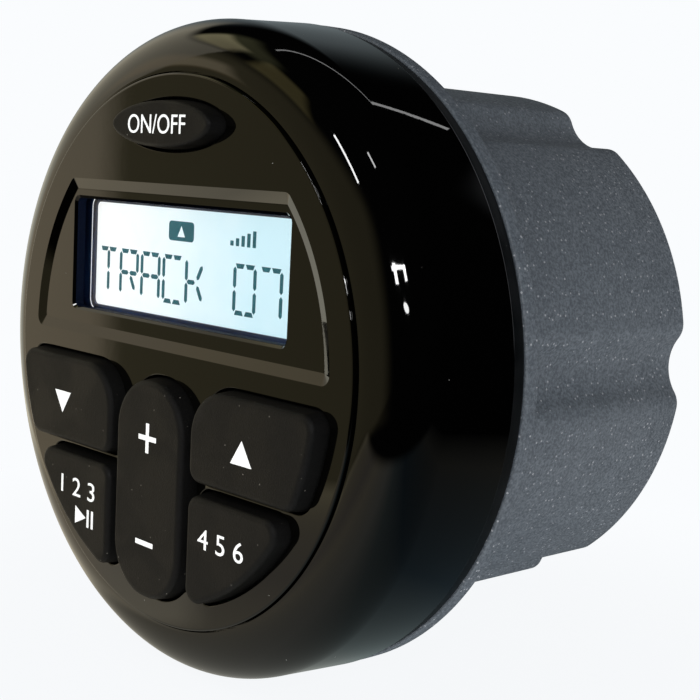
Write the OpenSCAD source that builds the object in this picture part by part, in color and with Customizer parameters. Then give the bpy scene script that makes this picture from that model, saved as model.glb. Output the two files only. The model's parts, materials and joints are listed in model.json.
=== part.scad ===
// Round marine stereo for a gauge hole in a boat's dash, in millimetres.
// The origin is the centre of the flange's rear face, -Y faces the user and +Z is up.

/* [Housing] */
// Diameter of the housing that passes through the dash hole
can_d = 84.6; // [83:0.1:96]
// Length of the housing behind its flange
can_len = 44.6; // [41:0.1:70]
// Thickness of the housing's side wall
can_wall = 2.4; // [1.8:0.1:2.8]
// Thickness of the housing's rear wall
rear_wall = 2.6; // [2:0.1:4]
// Chamfer round the housing's rear edge
rear_edge = 0.6; // [0.3:0.1:1.2]
// Width of the flange outside the housing
flange_w = 7.1; // [6.6:0.1:10]
// Thickness of the flange
flange_t = 3.1; // [2.8:0.1:5]
// Number of flutes, each with a screw at its foot
flutes = 6; // [5:1:8]
// Depth of a flute
flute_depth = 2.64; // [2:0.02:3]
// Radius of a flute's hollow
flute_r = 7; // [5:0.1:9]
// Radius of the lips beside a flute
lip_r = 3.5; // [3.2:0.1:5]

/* [Seal] */
// Thickness of the seal between housing and bezel
seal_t = 1.7; // [1:0.1:3]
// Radial width of the seal
seal_w = 8; // [7.4:0.1:8.6]

/* [Bezel] */
// Height of the bezel from the seal to the seam round the face
bezel_h = 19.7; // [18:0.1:26]
// Radius of the bezel's rounded shoulder
shoulder_r = 8.1; // [7:0.1:9]
// How much wider the bezel is at the seal than at the shoulder
bezel_draft = 0.7; // [0:0.1:1.5]
// Thickness of the bezel's wall
bezel_wall = 2.4; // [1.8:0.1:3]
// Radial width of the ledge that carries the face panel
ledge_w = 2.4; // [1.8:0.1:2.8]
// Thickness of that ledge
ledge_t = 2; // [1.4:0.1:2]

/* [Face panel] */
// Gap in the seam between bezel and face panel
seam_gap = 0.25; // [0.1:0.05:0.5]
// How far the face stands in front of the seam
panel_proud = 0.6; // [0.2:0.1:1.2]
// Thickness of the face panel
panel_t = 2.4; // [2:0.1:3.2]
// Rounding of the face panel's rim
panel_edge = 0.7; // [0.3:0.1:1.2]
// Distance from the panel's rim to the display recess
recess_margin = 4.45; // [3.6:0.05:5]
// Depth of the display recess
recess_depth = 0.6; // [0.3:0.1:1]
// Width of the bevel round the display recess
recess_slope = 1.6; // [0.8:0.1:1.8]
// Height of the recess above the window
recess_over = 3.06; // [2.4:0.02:4]
// Height of the recess below the window
recess_under = 4; // [3:0.1:5]
// Rounding of the recess's corners
recess_corner = 1.6; // [0.8:0.1:2.4]
// Width of the window
window_w = 52.2; // [46:0.1:54.4]
// Height of the window
window_h = 17.2; // [14:0.1:18]
// Height of the window's centre above the axis
window_y = 12.9; // [12:0.1:13.4]
// Rounding of the window's corners
window_corner = 0.9; // [0.4:0.1:2]
// Bevel round the window
window_bevel = 0.4; // [0.2:0.1:0.6]

/* [Keys] */
// How far the keys stand in front of the face
key_proud = 2.6; // [1.4:0.1:3.4]
// Press of a key
key_travel = 0.8; // [0.5:0.05:0.8]
// Tilt of the rocker to either side, in degrees
rocker_tilt = 3; // [2:0.25:3]
// Clearance round a key in the face panel
key_gap = 0.3; // [0.25:0.05:0.5]
// Bar of the face panel between two keys
key_bar = 0.6; // [0.5:0.1:1.2]
// Rounding of a key's top edge
key_edge = 0.8; // [0.4:0.1:1.2]
// How much a key's side leans in above the face
key_draft = 0.25; // [0.1:0.05:0.5]
// Corner rounding of the keys
key_corner = 2.5; // [1.2:0.1:3]
// Distance from the panel's rim to the outer keys
key_margin = 3.85; // [3.4:0.05:5]
// Height of the face between the recess and the keys
key_shelf = 3.3; // [2.6:0.1:4.5]
// Height of the seek keys
seek_h = 13.9; // [11:0.1:15]
// Large corner of the seek keys, beside the rocker
seek_corner = 7; // [4:0.1:8]
// Width of the volume rocker
rocker_w = 17; // [14:0.1:18]
// How much lower the rocker starts than the seek keys
rocker_drop = 0.6; // [0:0.1:1.5]
// Corner rounding of the rocker
rocker_corner = 8; // [5:0.1:8.2]
// Width of the oval power key
power_w = 24.2; // [20:0.1:28]
// Height of the oval power key
power_h = 7.1; // [6.2:0.1:7.6]
// Distance from the panel's rim to the power key's centre
power_inset = 7.35; // [7:0.05:8]

/* [Keypad] */
// How far a key's lip reaches behind the face panel
key_lip = 0.8; // [0.5:0.1:1]
// Thickness of that lip
key_lip_t = 0.8; // [0.6:0.1:0.9]
// Gap between the lips and the face panel
lip_gap = 0.2; // [0.15:0.05:0.3]
// Radius of the post under a key
stem_r = 3; // [2.4:0.1:3.2]
// Distance of the rocker's posts from its fulcrum
rocker_reach = 9.5; // [8.6:0.1:10.5]
// Thickness of the silicone sheet
web_t = 1.2; // [0.8:0.1:1.6]
// Clearance between a post and its collar on the sheet
collar_gap = 0.4; // [0.3:0.05:0.6]
// Wall of a collar
collar_wall = 1.2; // [0.8:0.1:1.4]
// Thickness of a carbon contact
pill_t = 0.6; // [0.4:0.1:0.8]
// Radius of a carbon contact
pill_r = 2.4; // [1.8:0.1:2.4]
// Thickness of a printed contact pad
pad_t = 0.1; // [0.05:0.05:0.2]

/* [Display] */
// Thickness of the clear window
lens_t = 1.2; // [1:0.1:1.6]
// How far the clear window reaches past its opening
lens_overlap = 1.4; // [1:0.1:1.8]
// Gap between the clear window and the display's frame
lcd_gap = 0.2; // [0.1:0.05:0.4]
// Thickness of the frame's lip over the glass
frame_lip = 0.4; // [0.3:0.1:0.8]
// Wall of the display's frame
frame_wall = 1.5; // [1.2:0.1:1.8]
// Thickness of the display glass
glass_t = 2.1; // [1.6:0.1:2.6]
// Thickness of the display's light guide
backlight_t = 1.7; // [1.4:0.1:2.4]
// Border of the window left and right of the lit area
view_inset_x = 1.5; // [0.6:0.1:2.4]
// Border of the window above and below the lit area
view_inset_y = 0.5; // [0.4:0.1:1.6]

/* [Boards] */
// Thickness of both circuit boards
board_t = 1.6; // [1:0.1:2]
// Depth of the main board behind the flange's rear face
main_setback = 12; // [10:0.1:14]
// Clearance of a board to the wall round it
board_clear = 0.6; // [0.4:0.1:1]
// Radius of the posts that carry the main board
post_r = 3.5; // [3:0.1:4]
// Distance of these posts from the main board's edge
post_inset = 5.1; // [4.6:0.1:5.6]
// Width of the amplifier chip
amp_w = 29; // [24:0.5:32]
// Height of the amplifier chip off the board
amp_h = 17; // [14:0.5:19]
// Thickness of the amplifier chip
amp_t = 4.5; // [3.5:0.1:5]
// Width of the heat sink
sink_w = 38; // [32:0.5:40]
// Thickness of the heat sink's plate
sink_t = 3; // [2:0.1:3.4]
// Height of the heat sink's fins
fin_h = 3; // [2:0.1:3.4]
// Number of fins on the heat sink
fins = 6; // [4:8]
// Diameter of a filter capacitor
cap_d = 12; // [10:0.5:12.5]
// Height of a filter capacitor
cap_h = 18; // [14:0.5:20]

/* [Fasteners] */
// Diameter of the housing screws
screw_d = 2.9; // [2.4:0.1:3.1]
// Head diameter of the housing screws
screw_head_d = 5; // [4.4:0.1:5.2]
// Head height of the housing screws
screw_head_h = 1.5; // [1.2:0.1:1.7]
// Length of the housing screws under the head
screw_len = 12; // [9:0.5:13]
// Distance of the housing screws from the flange's edge
screw_inset = 4.8; // [4.6:0.1:5]
// Diameter of the boss round a housing screw
boss_d = 6.4; // [5.6:0.1:6.6]
// Diameter of the board screws
board_screw_d = 2.2; // [1.8:0.1:2.4]
// Head diameter of the board screws
board_head_d = 4.2; // [3.6:0.1:4.4]
// Head height of the board screws
board_head_h = 1.4; // [1:0.1:1.8]
// Length of the board screws under the head
board_screw_len = 4.8; // [4:0.1:5]
// Diameter of the boss round a display board screw
board_boss_d = 4.4; // [4:0.1:4.8]

/* [Rear fittings] */
// Bore of the harness gland
harness_d = 10; // [8:0.5:11]
// Bore of the lead gland
lead_d = 6; // [4:0.5:7]
// Wall of a gland where it passes the rear wall
gland_wall = 2.5; // [1.5:0.1:3]
// How far a gland's rims overlap the rear wall
gland_rim = 2; // [1:0.1:2.4]
// Thickness of a gland's outer rim
gland_out_t = 2.2; // [1.5:0.1:3]
// Thickness of a gland's inner rim
gland_in_t = 1.8; // [1.2:0.1:2.5]
// Bore of the antenna socket
antenna_d = 9.2; // [8:0.1:10]
// Wall of the antenna socket
antenna_wall = 1.4; // [1:0.1:1.6]
// How far the antenna socket stands out behind
antenna_out = 8; // [6:0.5:12]
// How far the antenna socket reaches in from the rear wall
antenna_in = 8; // [6:0.5:10]
// Distance between the bracket's threaded inserts
insert_spacing = 56; // [50:0.5:58]
// Thread bore of an insert, for M5
insert_bore = 4.2; // [3.3:0.1:4.2]
// Outer diameter of an insert
insert_d = 6.4; // [5.8:0.1:6.6]
// Length of an insert
insert_len = 8; // [6:0.5:10]

/* [Hidden] */
$fn = 96;

// Small fits and layers
fit = 0.05;
touch_gap = 0.1;
skin = 0.02;
cut = 1;
embed = 0.25;
edge_steps = 4;
key_fn = 32;

// Radii, from the housing outwards and back in to the keys
can_r = can_d / 2;
flange_r = can_r + flange_w;
screw_ring_r = flange_r - screw_inset;
shoulder_out_r = flange_r - bezel_draft;
seam_r = shoulder_out_r - shoulder_r;
ledge_r = seam_r - ledge_w;
panel_r = seam_r - seam_gap;
recess_r = panel_r - recess_margin;
key_arc_r = panel_r - key_margin;

// Heights towards the user, from the flange's rear face
z_flange = flange_t;
z_seal = z_flange + seal_t;
z_seam = z_seal + bezel_h;
z_shoulder = z_seam - shoulder_r;
z_face = z_seam + panel_proud;
z_panel_back = z_face - panel_t;
z_ledge_back = z_panel_back - ledge_t;
z_floor = z_face - recess_depth;
z_key_top = z_face + key_proud;
z_lip = z_panel_back - lip_gap;
z_key_back = z_lip - key_lip_t;
z_lens_back = z_panel_back - lens_t;
z_frame = z_lens_back - lcd_gap;
z_glass = z_frame - frame_lip;
z_backlight = z_glass - glass_t;
z_board = z_backlight - backlight_t;
z_board_back = z_board - board_t;
z_web = z_board + web_t;
z_main = -main_setback;
z_main_back = z_main - board_t;
z_rear = -can_len;
z_rear_in = z_rear + rear_wall;

// Flutes: the hollow's centre and the centres of the lips that round its edges
flute_c = can_r - flute_depth + flute_r;
lip_rise = 0.05;
lip_c = can_r - lip_r + lip_rise;
lip_to_flute = flute_r + lip_r - lip_rise;
lip_a = acos((pow(lip_c, 2) + pow(flute_c, 2) - pow(lip_to_flute, 2)) / (2 * lip_c * flute_c));
screw_angles = [for (k = [0 : flutes - 1]) k * 360 / flutes];

// Housing screws: their heads lie below the flange's rear face, their tips end in the bezel's bosses
head_sink = 0.3;
z_screw_seat = head_sink + screw_head_h;
tip_gap = 0.3;
boss_floor = 1;
boss_relief = 0.3;
z_boss_hole = z_screw_seat + screw_len + tip_gap;
z_boss_top = z_boss_hole + boss_floor;

// Layout of the face
window_low = window_y - window_h / 2;
window_high = window_y + window_h / 2;
recess_low = window_low - recess_under;
recess_high = window_high + recess_over;
keys_high = recess_low - key_shelf;
seek_low = keys_high - seek_h;
mode_high = seek_low - 2 * key_gap - key_bar;
side_in = rocker_w / 2 + 2 * key_gap + key_bar;
rocker_high = keys_high - rocker_drop;
rocker_low = -key_arc_r;
rocker_y = (rocker_high + rocker_low) / 2;
power_y = panel_r - power_inset;
lip_tuck = key_bar / 4;
ear_len = 4;

// Posts under the keys
mode_post_in = 10.8;
mode_post_drop = 6.4;
power_stem_inset = 0.95;
seek_post = [(side_in + key_arc_r) / 2, (keys_high + seek_low) / 2];
mode_post = [side_in + mode_post_in, mode_high - mode_post_drop];
power_post = [0, power_y];
power_stem_r = power_h / 2 - power_stem_inset;
rocker_posts = [[0, rocker_y + rocker_reach], [0, rocker_y - rocker_reach]];
function mirrored(p) = [-p[0], p[1]];
low_posts = concat([seek_post, mirrored(seek_post), mode_post, mirrored(mode_post)], rocker_posts);

// Carbon contacts: each closes on its pad at the end of the key's travel
z_pill = z_board + pad_t + key_travel + touch_gap;
z_rocker_pill = z_board + pad_t + (rocker_reach + pill_r) * sin(rocker_tilt) + touch_gap;
power_pill_r = min(pill_r, power_stem_r);

// Collars stay below the keys at full press
collar_clear = 0.5;
z_collar = z_key_back - key_travel - collar_clear;
web_edge = 0.5;
web_shelf = 1.8;
fulcrum_w = 8;
fulcrum_r = 1;

// Display stack
view_w = window_w - 2 * view_inset_x;
view_h = window_h - 2 * view_inset_y;
glass_border = 1.7;
glass_w = view_w + 2 * glass_border;
glass_h = view_h + 2 * glass_border;

// Display board, its screws and the bezel's bosses for them
display_board_r = screw_ring_r - boss_d / 2 - board_clear;
board_screw_edge = 2.2;
web_clear = 0.4;
board_screw_ring_r = display_board_r - board_screw_edge;
board_screw_angles = [0, 45, 135, 180, 270];
web_r = board_screw_ring_r - board_boss_d / 2 - web_clear;
display_chip_size = [14, 14, 1.6];
display_chip_y = 4;

// Pegs that hold the face panel on its ledge
peg_r = 0.7;
peg_ring_r = (ledge_r + panel_r) / 2;
peg_angles = [20, 160, 235, 305];

// Main board and what stands on it
main_board_clear = 1;
main_board_r = can_r - can_wall - flute_depth - main_board_clear;
post_ring_r = main_board_r - post_inset;
post_angles = [45, 135, 225, 315];
post_hole_depth = 10;
control_chip_size = [12, 12, 1.4];
control_chip_y = 11;
amp_y = -1;
sink_clear = 4;
fin_t = 1.4;
part_clear = 1;
row_low = -post_ring_r * sin(45) + board_head_d / 2 + part_clear;
tuner_size = [22, 17, 6];
tuner_x = -14;
tuner_pos = [tuner_x, row_low + tuner_size[1] / 2];
choke_r = 9;
choke_hole_r = 4;
choke_h = 8;
choke_x = 15;
choke_pos = [choke_x, row_low + choke_r];
cap_x = 24;
cap_y = -11.5;
cap_pos = [[-cap_x, cap_y], [cap_x, cap_y]];
cap_groove = 0.4;
cap_groove_h = 2.5;
ribbon_w = 14;
ribbon_t = 0.4;
ribbon_y = 25;
ribbon_bow = 3;
ribbon_room = 1;
ribbon_plug = [17, 4.6, 4];
header_size = [24, 9, 9];
header_y = -19;

// Rear fittings, seen from behind in the same X and Z
harness_pos = [0, -20];
lead_pos = [-10, 16];
antenna_pos = [10, 16];
antenna_r = antenna_d / 2 + antenna_wall;
antenna_rim = 1.4;
antenna_rim_t = 1.5;
antenna_floor = 3;
antenna_pin_r = 1.65;
antenna_core_step = 1;
antenna_core_r = antenna_d / 2 - antenna_core_step;
nut_grip = 1.9;
nut_r = antenna_r + nut_grip;
nut_t = 3;
insert_wall = 1.5;
insert_floor = 1.2;

// Drive recesses of the screws
drive_r = 0.9;
drive_depth = 0.8;

// Turns a drawing with x right, y up and z towards the user into the part's frame
module facing() {
    rotate([90, 0, 0]) children();
}

// Slab of the outline between two heights
module slab(low, high) {
    translate([0, 0, low]) linear_extrude(height = high - low) children();
}

// Upright round bar between two heights
module bar(r, low, high) {
    translate([0, 0, low]) cylinder(r = r, h = high - low);
}

// Rounds the outward corners of an outline
module rounded(r) {
    offset(r = r) offset(delta = -r) children();
}

// Copies at angles on a ring
module on_ring(r, angles) {
    for (a = angles) rotate(a) translate([r, 0, 0]) children();
}

// Copies at places
module at(places) {
    for (p = places) translate([p[0], p[1], 0]) children();
}

// Screw with its head's seat at height z, its shank along +z and a drive recess in the head
module screw(d, head_d, head_h, len) {
    difference() {
        union() {
            bar(head_d / 2, -head_h, 0);
            bar(d / 2, -cut / 2, len);
        }
        bar(drive_r, -head_h - cut, -head_h + drive_depth);
    }
}

// Hollow of one flute, with the rounded lips left standing
module flute_cut(inset) {
    difference() {
        union() {
            translate([flute_c, 0]) circle(flute_r + inset);
            for (side = [-1, 1]) {
                lip = lip_c * [cos(lip_a), side * sin(lip_a)];
                polygon([lip, [flute_c, 0], lip * flute_c / lip_c]);
            }
        }
        for (side = [-1, 1])
            translate(lip_c * [cos(lip_a), side * sin(lip_a)]) circle(lip_r - inset);
    }
}

// Outline of the fluted housing, moved in by inset
module lobed(inset) {
    difference() {
        circle(can_r - inset);
        for (a = screw_angles) rotate(a) flute_cut(inset);
    }
}

// Outlines of the keys at the face
module seek_outline() {
    rounded(key_corner) intersection() {
        circle(key_arc_r);
        union() {
            translate([side_in + seek_corner, keys_high - seek_corner]) circle(seek_corner);
            translate([side_in + seek_corner, seek_low]) square([key_arc_r, seek_h]);
            translate([side_in, seek_low]) square([key_arc_r, seek_h - seek_corner]);
        }
    }
}

module mode_outline() {
    rounded(key_corner) intersection() {
        circle(key_arc_r);
        translate([side_in, mode_high - key_arc_r]) square(key_arc_r);
    }
}

module rocker_outline() {
    translate([0, rocker_y]) rounded(rocker_corner)
        square([rocker_w, rocker_high - rocker_low], center = true);
}

module power_outline(grow) {
    translate([0, power_y]) scale([power_w / 2 + grow, power_h / 2 + grow]) circle(1);
}

// Room that a lip has behind the panel: up to the bars it shares with its neighbours
module seek_room() {
    reach = key_gap + lip_tuck;
    translate([side_in - reach, seek_low - reach]) square(2 * key_arc_r);
}

module mode_room() {
    reach = key_gap + lip_tuck;
    translate([side_in - reach, mode_high + reach - 2 * key_arc_r]) square(2 * key_arc_r);
}

// Solid key: straight behind the face, leaning in above it, with a rounded top edge
module key_cap() {
    $fn = key_fn;
    hull() {
        slab(z_key_back, z_face) children();
        for (i = [0 : edge_steps]) {
            a = 90 * i / edge_steps;
            z = z_key_top - key_edge * (1 - sin(a));
            slab(z - skin, z) offset(delta = -key_draft - key_edge * (1 - cos(a))) children();
        }
    }
}

module key_lip_slab() {
    $fn = key_fn;
    slab(z_key_back, z_lip) children();
}

// Display outlines
module display_rect(w, h, r) {
    translate([0, window_y]) rounded(r) square([w, h], center = true);
}

module recess_outline() {
    rounded(recess_corner) intersection() {
        circle(recess_r);
        translate([-recess_r, recess_low]) square([2 * recess_r, recess_high - recess_low]);
    }
}

// Section of the bezel: flared wall, quarter-round shoulder and the ledge under the panel
module bezel_section() {
    inner_r = shoulder_r - bezel_wall;
    difference() {
        union() {
            polygon([
                [ledge_r, z_seal], [flange_r, z_seal], [shoulder_out_r, z_shoulder], [ledge_r, z_shoulder]
            ]);
            intersection() {
                translate([seam_r, z_shoulder]) circle(shoulder_r);
                translate([seam_r, z_shoulder]) square(shoulder_r);
            }
            translate([ledge_r, z_shoulder]) square([seam_r - ledge_r, z_panel_back - z_shoulder]);
        }
        polygon([
            [ledge_r - cut, z_seal - cut], [flange_r - bezel_wall, z_seal - cut],
            [shoulder_out_r - bezel_wall, z_shoulder], [ledge_r - cut, z_shoulder]
        ]);
        intersection() {
            translate([seam_r, z_shoulder]) circle(inner_r);
            translate([seam_r - cut / 2, z_shoulder - cut / 2])
                square([shoulder_r, z_ledge_back - z_shoulder + cut / 2]);
        }
        translate([ledge_r - cut, z_shoulder - cut / 2])
            square([seam_r - ledge_r + cut, z_ledge_back - z_shoulder + cut / 2]);
    }
}

module front_bezel() {
    color("#0b0b0c") facing() difference() {
        union() {
            rotate_extrude() bezel_section();
            on_ring(screw_ring_r, screw_angles) bar(boss_d / 2, z_seal + boss_relief, z_boss_top);
            on_ring(board_screw_ring_r, board_screw_angles) bar(board_boss_d / 2, z_board, z_ledge_back);
        }
        on_ring(screw_ring_r, screw_angles) bar(screw_d / 2 + fit, z_seal - cut, z_boss_hole);
        on_ring(board_screw_ring_r, board_screw_angles)
            bar(board_screw_d / 2 + fit, z_board - cut, z_board_back + board_screw_len + touch_gap);
        on_ring(peg_ring_r, peg_angles) bar(peg_r + fit, z_ledge_back - cut, z_panel_back + cut);
    }
}

// Section of the face panel with its rounded rim
module panel_section() {
    difference() {
        translate([0, z_panel_back]) square([panel_r, panel_t]);
        difference() {
            translate([panel_r - panel_edge, z_face - panel_edge]) square(panel_edge + cut);
            translate([panel_r - panel_edge, z_face - panel_edge]) circle(panel_edge);
        }
    }
}

module key_openings() {
    for (side = [0, 1]) mirror([side, 0]) {
        offset(delta = key_gap) seek_outline();
        offset(delta = key_gap) mode_outline();
    }
    offset(delta = key_gap) rocker_outline();
    power_outline(key_gap);
}

module face_panel() {
    bevelled_w = window_w + 2 * window_bevel;
    bevelled_h = window_h + 2 * window_bevel;
    color("#14120c") facing() difference() {
        union() {
            rotate_extrude() panel_section();
            on_ring(peg_ring_r, peg_angles) bar(peg_r, z_ledge_back, z_panel_back + cut / 2);
        }
        slab(z_panel_back - cut, z_face + cut) key_openings($fn = key_fn);
        hull() {
            slab(z_face, z_face + skin) recess_outline($fn = key_fn);
            slab(z_floor, z_floor + skin) offset(delta = -recess_slope) recess_outline($fn = key_fn);
        }
        slab(z_panel_back - cut, z_face) display_rect(window_w, window_h, window_corner, $fn = key_fn);
        hull() {
            slab(z_floor, z_floor + skin)
                display_rect(bevelled_w, bevelled_h, window_corner, $fn = key_fn);
            slab(z_floor - window_bevel, z_floor - window_bevel + skin)
                display_rect(window_w - 2 * fit, window_h - 2 * fit, window_corner, $fn = key_fn);
        }
    }
}

module display_lens() {
    color("#d8e6ea", 0.4) facing() slab(z_lens_back, z_panel_back)
        display_rect(window_w + 2 * lens_overlap, window_h + 2 * lens_overlap, window_corner);
}

module housing_seal() {
    color("#1a1d22") facing() difference() {
        bar(flange_r, z_flange, z_seal);
        bar(flange_r - seal_w, z_flange - cut, z_seal + cut);
        on_ring(screw_ring_r, screw_angles) bar(screw_d / 2 + 2 * fit, z_flange - cut, z_seal + cut);
    }
}

// Posts for the main board and bosses for the inserts, inside the rear wall
module housing_posts() {
    on_ring(post_ring_r, post_angles) bar(post_r, z_rear_in - cut / 2, z_main_back);
    at([[-insert_spacing / 2, 0], [insert_spacing / 2, 0]])
        bar(insert_d / 2 + insert_wall, z_rear_in - cut / 2, z_rear + insert_len + insert_floor);
}

module housing_holes() {
    on_ring(screw_ring_r, screw_angles) {
        bar(screw_d / 2 + 2 * fit, -cut, z_flange + cut);
        bar(screw_head_d / 2 + 2 * fit, -cut, z_screw_seat);
    }
    on_ring(post_ring_r, post_angles) bar(board_screw_d / 2 + fit, z_main_back - post_hole_depth, z_main);
    at([[-insert_spacing / 2, 0], [insert_spacing / 2, 0]])
        bar(insert_d / 2 + fit, z_rear - cut, z_rear + insert_len);
    at([harness_pos]) bar(harness_d / 2 + gland_wall + fit, z_rear - cut, z_rear_in + cut);
    at([lead_pos]) bar(lead_d / 2 + gland_wall + fit, z_rear - cut, z_rear_in + cut);
    at([antenna_pos]) bar(antenna_r + fit, z_rear - cut, z_rear_in + cut);
}

// Half section that chamfers the rear edge of the housing
module rear_edge_section() {
    polygon([
        [0, z_rear], [can_r - rear_edge, z_rear], [can_r + cut, z_rear + rear_edge + cut],
        [can_r + cut, cut], [0, cut]
    ]);
}

module rear_housing() {
    color("#5c626b") facing() difference() {
        union() {
            difference() {
                union() {
                    bar(flange_r, 0, z_flange);
                    intersection() {
                        slab(z_rear, cut / 2) lobed(0);
                        rotate_extrude() rear_edge_section();
                    }
                }
                slab(z_rear_in, z_flange + cut) lobed(can_wall);
            }
            housing_posts();
        }
        housing_holes();
    }
}

module housing_screws() {
    color("#9a9ca0") facing() on_ring(screw_ring_r, screw_angles) translate([0, 0, z_screw_seat])
        screw(screw_d, screw_head_d, screw_head_h, screw_len);
}

// Keys with their lips and posts
module seek_key() {
    key_cap() seek_outline();
    key_lip_slab() intersection() {
        offset(r = key_lip) seek_outline();
        seek_room();
    }
    at([seek_post]) bar(stem_r, z_pill + pill_t, z_key_back + embed);
}

module mode_side_key() {
    key_cap() mode_outline();
    key_lip_slab() intersection() {
        offset(r = key_lip) mode_outline();
        mode_room();
    }
    at([mode_post]) bar(stem_r, z_pill + pill_t, z_key_back + embed);
}

module up_key() {
    color("#1d1d1e") facing() seek_key();
}

module down_key() {
    color("#1d1d1e") facing() mirror([1, 0, 0]) seek_key();
}

module mode_key() {
    color("#1d1d1e") facing() mode_side_key();
}

module band_key() {
    color("#1d1d1e") facing() mirror([1, 0, 0]) mode_side_key();
}

module power_key() {
    color("#1d1d1e") facing() {
        key_cap() power_outline(0);
        key_lip_slab() power_outline(key_lip);
        at([power_post]) bar(power_stem_r, z_pill + pill_t, z_key_back + embed);
    }
}

module volume_rocker() {
    color("#1d1d1e") facing() {
        key_cap() rocker_outline();
        slab(z_key_back, z_lip) translate([0, rocker_y])
            square([rocker_w + 2 * (key_gap + lip_tuck), ear_len], center = true);
        at(rocker_posts) bar(stem_r, z_rocker_pill + pill_t, z_key_back + embed);
    }
}

// Carbon contacts
module pill(r, low) {
    color("#2b2b2d") facing() bar(r, low, low + pill_t);
}

module up_key_pill() {
    translate([seek_post[0], 0, seek_post[1]]) pill(pill_r, z_pill);
}

module down_key_pill() {
    translate([-seek_post[0], 0, seek_post[1]]) pill(pill_r, z_pill);
}

module mode_key_pill() {
    translate([mode_post[0], 0, mode_post[1]]) pill(pill_r, z_pill);
}

module band_key_pill() {
    translate([-mode_post[0], 0, mode_post[1]]) pill(pill_r, z_pill);
}

module power_key_pill() {
    translate([power_post[0], 0, power_post[1]]) pill(power_pill_r, z_pill);
}

module volume_rocker_pills() {
    for (p = rocker_posts) translate([p[0], 0, p[1]]) pill(pill_r, z_rocker_pill);
}

// Silicone sheets with a collar round every post
module keypad_web() {
    color("#232325") facing() difference() {
        union() {
            slab(z_board, z_web) intersection() {
                circle(web_r);
                translate([-web_r, -web_r]) square([2 * web_r, web_r - web_shelf]);
            }
            at(low_posts) bar(stem_r + collar_gap + collar_wall, z_board, z_collar);
            translate([-fulcrum_w / 2, rocker_y - fulcrum_r, z_board])
                cube([fulcrum_w, 2 * fulcrum_r, z_key_back - touch_gap - fulcrum_r - z_board]);
            translate([-fulcrum_w / 2, rocker_y, z_key_back - touch_gap - fulcrum_r])
                rotate([0, 90, 0]) cylinder(r = fulcrum_r, h = fulcrum_w);
        }
        at(low_posts) bar(stem_r + collar_gap, z_board - cut, z_collar + cut);
    }
}

module power_key_web() {
    collar_r = power_stem_r + collar_gap + collar_wall;
    color("#232325") facing() difference() {
        union() {
            slab(z_board, z_web) intersection() {
                translate([0, power_y]) square([power_w, 2 * collar_r], center = true);
                circle(display_board_r - web_edge);
            }
            at([power_post]) bar(collar_r, z_board, z_collar);
        }
        at([power_post]) bar(power_stem_r + collar_gap, z_board - cut, z_collar + cut);
    }
}

module contact_pads() {
    color("#c9a24a") facing() {
        at(low_posts) bar(pill_r, z_board, z_board + pad_t);
        at([power_post]) bar(power_pill_r, z_board, z_board + pad_t);
    }
}

// Display stack
module lcd_frame() {
    color("#101a33") facing() difference() {
        slab(z_board, z_frame)
            display_rect(glass_w + 2 * frame_wall, glass_h + 2 * frame_wall, window_corner);
        slab(z_board - cut, z_glass) display_rect(glass_w + 4 * fit, glass_h + 4 * fit, fit);
        slab(z_glass - cut, z_frame + cut) display_rect(view_w, view_h, window_corner);
    }
}

module lcd_glass() {
    color("#e6f6fb") facing() slab(z_backlight, z_glass) display_rect(glass_w, glass_h, fit);
}

module lcd_backlight() {
    color("#f4f4ee") facing() slab(z_board, z_backlight) display_rect(glass_w, glass_h, fit);
}

module display_board() {
    color("#1f5a3a") facing() difference() {
        bar(display_board_r, z_board_back, z_board);
        on_ring(board_screw_ring_r, board_screw_angles)
            bar(board_screw_d / 2 + 2 * fit, z_board_back - cut, z_board + cut);
    }
}

module display_board_screws() {
    color("#b0b2b4") facing() on_ring(board_screw_ring_r, board_screw_angles)
        translate([0, 0, z_board_back]) screw(board_screw_d, board_head_d, board_head_h, board_screw_len);
}

module display_chip() {
    color("#26272a") facing() translate([0, display_chip_y, z_board_back - display_chip_size[2]])
        linear_extrude(height = display_chip_size[2])
            square([display_chip_size[0], display_chip_size[1]], center = true);
}

// Main board and what stands on it
module main_board() {
    color("#1f5a3a") facing() difference() {
        bar(main_board_r, z_main_back, z_main);
        on_ring(post_ring_r, post_angles) bar(board_screw_d / 2 + 2 * fit, z_main_back - cut, z_main + cut);
    }
}

module main_board_screws() {
    color("#b0b2b4") facing() on_ring(post_ring_r, post_angles) translate([0, 0, z_main]) mirror([0, 0, 1])
        screw(board_screw_d, board_head_d, board_head_h, board_screw_len + board_t);
}

module control_chip() {
    color("#26272a") facing() translate([0, control_chip_y, z_main])
        linear_extrude(height = control_chip_size[2])
            square([control_chip_size[0], control_chip_size[1]], center = true);
}

module amplifier_chip() {
    color("#202124") facing() slab(z_main_back - amp_h, z_main_back)
        translate([-amp_w / 2, amp_y - amp_t]) square([amp_w, amp_t]);
}

module heat_sink() {
    pitch = (sink_w - fin_t) / (fins - 1);
    color("#b7babd") facing() slab(z_rear_in + sink_clear, z_main_back) translate([-sink_w / 2, amp_y]) {
        square([sink_w, sink_t]);
        for (k = [0 : fins - 1]) translate([k * pitch, sink_t - fit]) square([fin_t, fin_h + fit]);
    }
}

module tuner_module() {
    color("#c3c6c8") facing() slab(z_main, z_main + tuner_size[2])
        translate(tuner_pos) square([tuner_size[0], tuner_size[1]], center = true);
}

module filter_capacitors() {
    z_groove = z_main_back - cap_groove_h;
    color("#2c3550") facing() at(cap_pos) difference() {
        bar(cap_d / 2, z_main_back - cap_h, z_main_back);
        difference() {
            bar(cap_d / 2 + cut, z_groove - cap_groove, z_groove + cap_groove);
            bar(cap_d / 2 - cap_groove, z_main_back - cap_h, z_main_back);
        }
    }
}

module input_choke() {
    color("#7a4a1e") facing() at([choke_pos]) difference() {
        bar(choke_r, z_main, z_main + choke_h);
        bar(choke_hole_r, z_main - cut, z_main + choke_h + cut);
    }
}

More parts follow.
